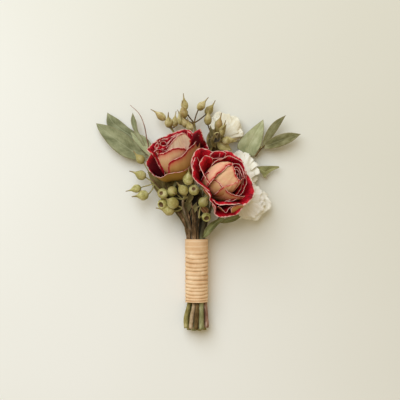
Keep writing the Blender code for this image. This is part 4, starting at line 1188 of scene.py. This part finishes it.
UPPER_SCRAPS = (
    ("olive", ((213, 139), (208.5, 139), (206.5, 149.5)),
     ((216, 142), (212.5, 147), (206.5, 149.5)), 17, 12),
    ("olive", ((213, 140), (209.5, 133), (210.5, 125)),
     ((217, 138), (213.5, 132), (210.5, 125)), 18, 20),
    ("umber", ((211, 129), (206.5, 138), (208, 151)), ((222, 130), (224, 140), (221, 152)), 13, 12),
    ("dark", ((212, 133), (211, 139), (214, 145)), ((223, 133), (224, 139), (219, 145)), 18, 18),
    ("ochre", ((216, 141), (219.5, 149.5), (232, 150.5)),
     ((220, 138), (227, 142.5), (232, 150.5)), 18.5, 17.5),
    ("ochre", ((219, 137), (228, 137.5), (238, 141)), ((218, 141), (227, 143.5), (238, 141)), 20.5, 16),
    ("umber", ((215.5, 138), (214, 131), (216, 124.5)),
     ((219.5, 137), (219, 130), (216, 124.5)), 20.5, 24),
    ("umber", ((218, 138), (220.5, 130.5), (226.5, 124)),
     ((222, 139), (225, 133), (226.5, 124)), 20.5, 23.5),
    ("umber", ((212, 146), (210.5, 140), (214, 134)), ((216, 148), (216.5, 141), (214, 134)), 17.5, 21),
    ("umber", ((215.5, 143), (212.5, 138.5), (213.5, 133)),
     ((218, 142), (217, 137), (213.5, 133)), 24.5, 27),
    ("umber", ((217.5, 142), (217, 136.5), (219.5, 131.5)),
     ((219.5, 142.5), (221, 137), (219.5, 131.5)), 25, 27.5),
    ("dark", ((213.5, 141), (215.5, 136.5), (219.5, 134)),
     ((215, 143), (220, 140.5), (219.5, 134)), 25.5, 26),
)
SCRAP_TINTS = {
    # Near black: painted shade in the deep gaps between the stems in the neck and in the middle of the
    # upper right spray
    "dark": ((0.010, 0.006, 0.002), (0.025, 0.016, 0.005), (0.06, 0.04, 0.014), 0.0),
    "olive": ((0.06, 0.045, 0.012), (0.13, 0.10, 0.028), (0.25, 0.20, 0.07), 0.0),
    "umber": ((0.06, 0.038, 0.008), (0.17, 0.12, 0.028), (0.32, 0.245, 0.075), 0.0),
    "ochre": ((0.28, 0.23, 0.06), (0.48, 0.40, 0.14), (0.68, 0.60, 0.30)),
    "russet": ((0.14, 0.06, 0.015), (0.30, 0.13, 0.05), (0.50, 0.27, 0.14)),
}
SCRAP_SEED = 91
SCRAP_ARCH = 0.4
SCRAP_FOLD = 0.2
# A thin stalk is its points in pixels, its height and its radius.
NECK_STALKS = (
    ((187.5, 240), (186, 228), (182, 214), (173.5, 203), 15.5, 0.75),
    ((190, 240), (189.5, 224), (186.5, 209), (182.5, 197), 16.8, 0.60),
    ((194, 240), (193, 226), (192.5, 210), (189, 196), 17.6, 0.50),
    ((196.5, 240), (196.5, 226), (195.5, 209), (199.5, 196), 16, 0.55),
    ((189, 240), (186.5, 230), (178, 213), (170, 209), 14.5, 0.55),
    ((195.4, 240), (195, 228), (194.2, 216), (191.5, 205), 17.5, 0.85),
    ((193.5, 240), (191, 226), (188.8, 216), (185.5, 207), 17, 0.55),
    ((198, 240), (197.6, 228), (198.4, 214), (196, 203), 17.2, 0.60),
    ((190.5, 240), (188.5, 228), (190.5, 214), (196, 206), 16.2, 0.50),
    ((191.5, 240), (184, 222), (170, 200), (151.5, 179), 15, 0.80),
    ((190.5, 240), (185, 224), (175, 204), (165, 185), 15.5, 0.55),
)
STALK_TAPER = 0.6
NECK_STALK_POINTS = 26
# How far from the bundle's axis a stalk may enter the ribbon
TUCKED_RADIUS = 6.6


def scraps(side, table, skins):
    """The scraps of a table, as a piece for each skin."""
    for kind in sorted({tint for tint, *_ in table}):
        sheets = Sheets()
        for k, (tint, left, right, foot_z, tip_z) in enumerate(table):
            if tint == kind:
                leaf(sheets, left, right, SCRAP_SEED + k, foot_z, tip_z, SCRAP_ARCH, SCRAP_FOLD)
        sheets.finish(f"{side}_{kind}_scraps", side + "_seed_spray", [skins[kind]] * 3, LEAF_THICK)


def thin_stalks():
    sheets = Sheets()
    for k, (*points, height, radius) in enumerate(NECK_STALKS):
        points = [seen(px, py, height) for px, py in points]
        aside = points[0][0] - BUNDLE_X
        top = bundle_point((90, math.sqrt(TUCKED_RADIUS**2 - aside**2)), points[0][1])
        points[0][2] = min(height, top[2])
        thin_rod(sheets, points, (radius, STALK_TAPER * radius), NECK_STALK_POINTS, 0.1 * k)
    sheets.finish("thin_stalks", "low_seed_spray", [bark("thin_stalk_bark", "umber")])


def dried_filling():
    skins = {kind: leaf_skin(kind + "_scrap", *tints) for kind, tints in SCRAP_TINTS.items()}
    scraps("low", NECK_SCRAPS, skins)
    thin_stalks()
    scraps("upper_right", UPPER_SCRAPS, skins)


# Carnations

FAN_ACROSS = 60
FAN_ALONG = 20
FAN_THICK = 0.2
FAN_SEED = 300
FAN_FLOOR = 0.2
# How far down in the flower the first petal's foot is, and how far above it each next one's
FIRST_FOOT = 0.5
FOOT_STEP = 0.06
TOOTH_DEPTH = 1.1
CALYX = ((0.02, 0.0), (1.4, 0.1), (2.4, 1.8), (2.8, 5.0), (3.1, 7.6), (3.5, 8.9), (0.02, 9.0))
CALYX_CELLS = (20, 14)
CALYX_HEIGHT = 9.0
CALYX_TONE = 0.5
MAIN_MOUTH = np.array((24.0, 12.2, 8.6))
MAIN_AXIS = unit((0.60, 0.70, 0.38))
MAIN_CEILING = 17.0
MAIN_PATH = ((8, -11, 12.3), (15, -4, 9.5))
TOP_MOUTH = np.array((14.0, 46.0, 6.0))
TOP_AXIS = unit((0.26, 0.95, 0.10))
TOP_CEILING = 12.0
TOP_PATH = ((2.5, -2, 4.5), (6, 16, 3), (9.5, 30, 3.2))
# Petals as (tip's pixel across and down, height of the tip, spread in degrees, arch, wave)
MAIN_FANS = (
    (223, 216, 5, 26, 0.4, 0.6), (233, 217.5, 6.5, 24, 0.4, 0.6), (245, 218, 8, 26, 0.4, 0.8),
    (257, 217, 8.5, 26, 0.5, 0.8), (266.5, 212.5, 9, 24, 0.5, 0.9), (267, 204, 9, 22, 0.8, 1),
    (260, 193.5, 6.5, 22, 1.5, 1.1), (254, 183, 5, 24, 2, 1.2), (251, 171.5, 5, 24, 3, 1.5),
    (251, 162, 6, 24, 3, 1.5), (246, 154.5, 7, 24, 3, 1.5), (239, 153, 7, 24, 2, 1.2),
    (249, 215, 11.5, 22, 0.6, 0.8), (260, 212, 12.5, 22, 0.6, 0.9), (265, 206.5, 13, 20, 0.8, 1),
    (262, 198, 13, 22, 1.2, 1), (255, 188, 13, 24, 2, 1.3), (250.5, 176.5, 12.5, 24, 3, 1.5),
    (247.5, 165, 13, 24, 3, 1.5), (251, 203, 15, 24, 1, 0.9), (250.5, 190, 15.5, 26, 2, 1.2),
    (246.5, 173, 15.5, 26, 2, 1.2),
)
TOP_FANS = (
    (240, 131, 3, 22, 1.5, 1), (238, 121, 4, 24, 2, 1.2), (232, 114, 5, 24, 2, 1.2),
    (224, 112.5, 4, 22, 2, 1.2), (216, 118, 3, 22, 1.5, 1), (239, 126, 8, 24, 2.5, 1.2),
    (234, 118, 9, 24, 2.5, 1.2), (227, 115, 9, 24, 2.5, 1.2), (232, 124, 10.5, 26, 1.5, 1),
)
# Leaves as the twigs have them, without a tint
MAIN_LEAVES = (
    (((219, 222), (225, 218.5), (233, 215.5), (243, 215)),
     ((219, 222.8), (226, 223.2), (235, 221), (243, 215)), 9.8, 8.5, 1.0),
    (((201, 237.5), (205, 229), (211, 222.5), (222, 217)),
     ((204.5, 238), (208.5, 235.5), (214, 229.5), (218.5, 224.5), (225, 219)), 14.5, 12.0, 1.0),
)
MAIN_LEAF_TINTS = ((0.10, 0.10, 0.025), (0.19, 0.19, 0.06), (0.30, 0.30, 0.12))
MAIN_LEAF_SEED = 71
# The dark streak colour, which is also the painted shade at the petals' feet, the body and the tip of the
# upper side, the underside and the rim
CARNATION_TINTS = {
    "main": {
        "top": ((0.92, 0.81, 0.62), (0.98, 0.94, 0.81), (1.0, 0.97, 0.88)),
        "under": ((0.88, 0.77, 0.58), (0.95, 0.90, 0.76), (0.98, 0.95, 0.85)),
        "rim": ((0.88, 0.77, 0.58), (0.97, 0.92, 0.78), (1.0, 0.97, 0.88)),
    },
    "top": {
        "top": ((0.73, 0.58, 0.37), (0.89, 0.82, 0.63), (0.94, 0.90, 0.76)),
        "under": ((0.69, 0.55, 0.35), (0.86, 0.78, 0.58), (0.92, 0.87, 0.72)),
        "rim": ((0.68, 0.54, 0.36), (0.84, 0.72, 0.52), (0.92, 0.83, 0.66)),
    },
}
# Towards the heads the petals turn darker and yellower: partly their own colour, partly painted shade that
# keeps the lower petals lighter than the upper ones
CARNATION_UPPER_TINT_AND_SHADE = (0.72, 0.66, 0.42)
CARNATION_BARKS = {"main": "red", "top": "green"}


def carnation_skin(name, streak_and_shade, body, tip):
    """A thin dried petal with fine lines that run out to its toothed rim, and painted shade towards its
    foot, deep in the flower.
    """
    shader = Shader(name, 0.7, 0.2)
    (x, y, tone), (_, _, reach) = shader.sheet()
    shift = tone * 50.0
    lines = shader.noise((x / (y + 4.0) * 60.0, y * 0.10, shift), 1.0, 4.0)
    cloud = shader.noise((x, y, shift), 0.2, 2.0)
    skin = shader.ramp(lines * 0.6 + cloud * 0.4, (0.30, streak_and_shade), (0.45, body), (0.60, tip))
    # Darker and yellower towards the heads: partly the petals' own colour, partly painted shade.
    upper_tint_and_shade = shader.position()[1].between(8.0, 34.0, 0.0, 0.25)
    skin = shader.mix(upper_tint_and_shade, skin, CARNATION_UPPER_TINT_AND_SHADE)
    # Painted shade towards the petal's foot, deep in the flower.
    return shader.made(shader.mix(reach.between(0.1, 0.6, 0.6, 0.0), skin, streak_and_shade), lines, 0.11)


def fan(sheets, root, tip, seed, spread, arch, wave, ceiling):
    """A carnation petal: a fan on a narrow claw, waved, and toothed at its rim."""
    way = tip - root
    length = np.linalg.norm(way)
    way = way / length
    side = unit(np.cross(way, UP))
    draw = np.random.default_rng(seed)
    u = np.linspace(-1, 1, FAN_ACROSS)[:, None]
    v = np.linspace(0, 1, FAN_ALONG) ** 0.85
    angle = u * math.radians(spread) * (0.35 + 0.65 * v)
    tooth = draw.uniform(0.0, 1.0, (FAN_ACROSS, 1)) * np.where(np.arange(FAN_ACROSS) % 2, 1, 0.15)[:, None]
    reach = length * v * (1 - 0.10 * u * u * v + 0.06 * Waves(seed, 1.3, 0.5, 3)(u) * v)
    reach = reach - TOOTH_DEPTH * tooth * v**6
    x, y = reach * np.cos(angle), reach * np.sin(angle)
    big = Waves(seed + 1, 16.0, 7.0, 4)(y, x * 0.4)
    frill = Waves(seed + 2, 5.5, 2.4, 4)(y, x * 0.2)
    z = arch * np.sin(math.pi * v * 0.9) + wave * v**2 * big + 0.45 * wave * v**4 * frill
    grid = root + x[..., None] * way + y[..., None] * side + z[..., None] * np.cross(side, way)
    middle, half = 0.5 * (FAN_FLOOR + ceiling), 0.5 * (ceiling - FAN_FLOOR)
    grid[..., 2] = middle + half * np.tanh((grid[..., 2] - middle) / half)
    place = stacked(y, x, tone_of(seed))
    edge = stacked(length * (1 - v), abs(u), v)
    sheets.add(grid[:, ::-1], place[:, ::-1], edge[:, ::-1])


def carnation(side, mouth, axis, fans, ceiling, slot, path):
    """A carnation's petals, and its stem with the calyx that holds them."""
    node = side + "_carnation"
    petals, rod = Sheets(), Sheets()
    for k, (px, py, height, spread, arch, wave) in enumerate(fans):
        root = mouth + axis + UP * (FOOT_STEP * k - FIRST_FOOT)
        seed = FAN_SEED + 17 * k + len(side)
        fan(petals, root, seen(px, py, height), seed, spread, arch, wave, ceiling)
    skins = [carnation_skin(f"{node}_{part}", *tints) for part, tints in CARNATION_TINTS[side].items()]
    petals.finish(node + "_fans", node + "_petals", skins, FAN_THICK)
    foot = mouth - axis * CALYX_HEIGHT
    stem(rod, slot, [*path, foot + axis * STEM_SINK], CARNATION_STEM_RADII)
    turned(rod, CALYX, foot, axis, *CALYX_CELLS, CALYX_TONE)
    rod.finish(node + "_rod", node + "_stem", [bark(node + "_bark", CARNATION_BARKS[side])])


def carnations():
    carnation("main", MAIN_MOUTH, MAIN_AXIS, MAIN_FANS, MAIN_CEILING, (10, OUTER_RING), MAIN_PATH)
    blades = Sheets()
    for k, (left, right, foot_z, tip_z, arch) in enumerate(MAIN_LEAVES):
        leaf(blades, left, right, MAIN_LEAF_SEED + k, foot_z, tip_z, arch)
    skin = leaf_skin("main_carnation_leaf", *MAIN_LEAF_TINTS)
    blades.finish("main_carnation_leaf", "main_carnation_stem", [skin] * 3, LEAF_THICK)
    carnation("top", TOP_MOUTH, TOP_AXIS, TOP_FANS, TOP_CEILING, (290, OUTER_RING), TOP_PATH)


# The ribbon

WRAP_INNER = 6.9
WRAP_GROOVE = 7.5
WRAP_RIDGE = 7.95
WRAP_SIDES = 72
WRAP_ROWS = 10
# The edge of each turn on top of the handle, in pixels down the picture: at the left, in the
# middle and at the right. The turns nearest the heads lie flat.
WRAP_EDGES = (
    (238.5, 238.5, 238.5), (243.4, 244.2, 243.6), (249.2, 249.5, 248.4), (253.8, 254.8, 253.6),
    (256.5, 259.8, 258), (261.5, 264.2, 262.5), (267, 268.6, 266.6), (271.2, 271.8, 269.8),
    (275.5, 276.5, 275.6), (279, 280.8, 281.4), (284, 285.4, 284.6), (287.6, 288.9, 288),
    (290.8, 292.3, 291), (294, 296.2, 294.2), (298.3, 299.4, 298.3), (301.7, 301.9, 301.7),
)
FLAT_TURNS = 3.0
LEAST_GROOVE = 0.06
RIDGE_WOBBLE = 0.22
TURN_WIDTH = 3.2
ABOVE_TABLE = 0.02
RIBBON_TINTS = ((0.34, (0.68, 0.40, 0.19)), (0.50, (0.80, 0.515, 0.27)), (0.66, (0.90, 0.65, 0.39)))
RIBBON_FLAT = (0.66, 0.40, 0.20)
RIBBON_LIT = (0.93, 0.72, 0.46)
# Painted shade in the grooves between the turns
RIBBON_GROOVE_SHADE = (0.40, 0.20, 0.08)


def ribbon_skin():
    """Woven ribbon, with painted shade in the grooves between its turns and a painted highlight along the
    middle of each turn. Its edge is (millimetres from a turn's side, the turn's number, how deep the
    grooves are there)."""
    shader = Shader("ribbon", 0.7, 0.25)
    (x, y, _), (nearest, number, depth) = shader.sheet()
    thread = shader.noise((x, y * 0.12, number * 7.0), 3.2)
    cloud = shader.noise((x, y, number), 0.14)
    skin = shader.ramp(thread * 0.3 + cloud * 0.7, *RIBBON_TINTS)
    skin = shader.mix(depth.between(0.1, 0.9, 0.45, 0.0), skin, RIBBON_FLAT)
    skin = shader.mix(nearest.between(0.9, 1.5, 0.0, 0.35), skin, RIBBON_LIT)
    # Painted shade in the grooves between the turns.
    groove_shade = nearest.between(0.05, 0.55, 1.0, 0.0) * depth * cloud.between(0.36, 0.60, 0.9, 0.45)
    return shader.made(shader.mix(groove_shade, skin, RIBBON_GROOVE_SHADE), thread, 0.12)


def ribbon_y(row, theta, angle):
    """Where each point of the ribbon lies along the handle. A turn steps across at the back."""
    marks = np.array(WRAP_EDGES)
    marks = np.vstack([2 * marks[0] - marks[1], marks, 2 * marks[-1] - marks[-2]])
    where = row + (theta + np.sin(2 * math.pi * theta) / (2 * math.pi) - 0.5)
    edges = np.arange(-1, len(WRAP_EDGES) + 1)
    left, middle, right = (np.interp(where, edges, marks[:, k]) for k in range(3))
    aside = (left + right) / 2 + np.cos(angle) * (right - left) / 2
    down = middle + (aside - middle) * (1 - np.clip(np.sin(angle), 0, 1))
    top = bundle_height(WRAP_Y[1]) + WRAP_RIDGE
    return np.clip(seen(PICTURE_MIDDLE, down, top)[..., 1], *WRAP_Y)


def widened(values, *ends):
    """Rows of values with one more at each end: those two, or else the nearest ones again."""
    if ends:
        return np.pad(values, ((0, 0), (1, 1)), constant_values=((0, 0), ends))
    return np.pad(values, ((0, 0), (1, 1)), mode="edge")


def ribbon():
    """Turns of ribbon, each one lapped over by the next, closed to the stems at both ends."""
    theta = (np.arange(WRAP_SIDES + 1) / WRAP_SIDES)[:, None]
    angle = 2 * math.pi * theta - math.pi / 2
    last_row = (len(WRAP_EDGES) - 1) * WRAP_ROWS + WRAP_ROWS // 2
    row = np.arange(-WRAP_ROWS // 2, last_row + 1)[None, :] / WRAP_ROWS
    part, number = np.mod(row, 1.0), np.floor(row + 1e-6)
    depth = smooth_step((row - FLAT_TURNS + 0.8) / 1.2) * (1 - LEAST_GROOVE) + LEAST_GROOVE
    bulge = 1 - abs(2 * part - 1) ** 2.2
    wobble = Waves(3, 9.0, 3.0)(number * 5, angle * 3)
    swell = 1 - depth * (1 - bulge) + RIDGE_WOBBLE * wobble * bulge
    radius = widened(WRAP_GROOVE + (WRAP_RIDGE - WRAP_GROOVE) * swell, WRAP_INNER, WRAP_INNER)
    y = widened(ribbon_y(row, theta, angle), WRAP_Y[1], WRAP_Y[0])
    height = bundle_height(y)
    radius = np.minimum(radius, height - ABOVE_TABLE)
    grid = stacked(BUNDLE_X + radius * np.cos(angle), y, height + radius * np.sin(angle))
    nearest = widened(np.minimum(part, 1 - part) * TURN_WIDTH)
    sheets = Sheets()
    sheets.add(grid, stacked(y, WRAP_RIDGE * angle, 0.0), stacked(nearest, widened(number), widened(depth)))
    sheets.finish("wound_ribbon", "ribbon_wrap", [ribbon_skin()])


# The table, the camera and the light

NEAR_CLIP = 0.01
TABLE_SIZE = 3.0
TABLE_PAPER = ((0.3, (0.88, 0.86, 0.765)), (0.7, (0.91, 0.89, 0.81)))
# Painted light on the table: paler at the picture's lower left corner, falling off to darker and browner at
# its upper right one
TABLE_PAINTED_FALLOFF = ((0.0, (1.0, 1.0, 1.0)), (1.0, (0.82, 0.80, 0.73)))
CORNER_SUM = 280
LAMP_PLACE = (-0.34, 0.60, 0.90)
LAMP_SIZE = 1.15
LAMP_WATTS = 11.9
LAMP_COLOUR = (0.865, 0.985, 1.20)
ROOM_COLOUR = (1.0, 0.85, 0.57)
ROOM_STRENGTH = 0.47


def table():
    bpy.ops.mesh.primitive_plane_add(size=TABLE_SIZE, location=(0, 0, 0))
    floor = bpy.context.object
    floor.name = "table_top"
    shader = Shader("table_top", 0.85, 0.1)
    x, y, z = shader.position()
    paper = shader.ramp(shader.noise((x, y, z), 0.004, 2.0), *TABLE_PAPER)
    # Painted fall-off of light across the table, from the lower left corner to the upper right one
    tone = shader.ramp((x + y).between(-CORNER_SUM, CORNER_SUM), *TABLE_PAINTED_FALLOFF)
    floor.data.materials.append(shader.made(shader.mix(1.0, paper, tone, "MULTIPLY")))


def camera():
    data = bpy.data.cameras.new("camera")
    data.lens = LENS
    data.sensor_width = SENSOR
    data.clip_start = NEAR_CLIP
    made = added("camera", data)
    made.location = in_row(EYE)
    bpy.context.scene.camera = made


def lights():
    data = bpy.data.lights.new("window", "AREA")
    data.shape = "DISK"
    data.size = LAMP_SIZE
    data.energy = LAMP_WATTS
    data.color = LAMP_COLOUR
    lamp = added("window", data)
    lamp.location = LAMP_PLACE
    lamp.rotation_euler = (-Vector(LAMP_PLACE)).to_track_quat("-Z", "Y").to_euler()
    world = bpy.data.worlds.new("room")
    bpy.context.scene.world = world
    world.use_nodes = True
    room = world.node_tree.nodes["Background"].inputs
    room["Color"].default_value = (*ROOM_COLOUR, 1)
    room["Strength"].default_value = ROOM_STRENGTH
    bpy.context.scene.view_settings.view_transform = "Standard"


roses()
rose_stems()
leafy_twigs()
seed_sprays()
dried_filling()
carnations()
ribbon()
table()
camera()
lights()
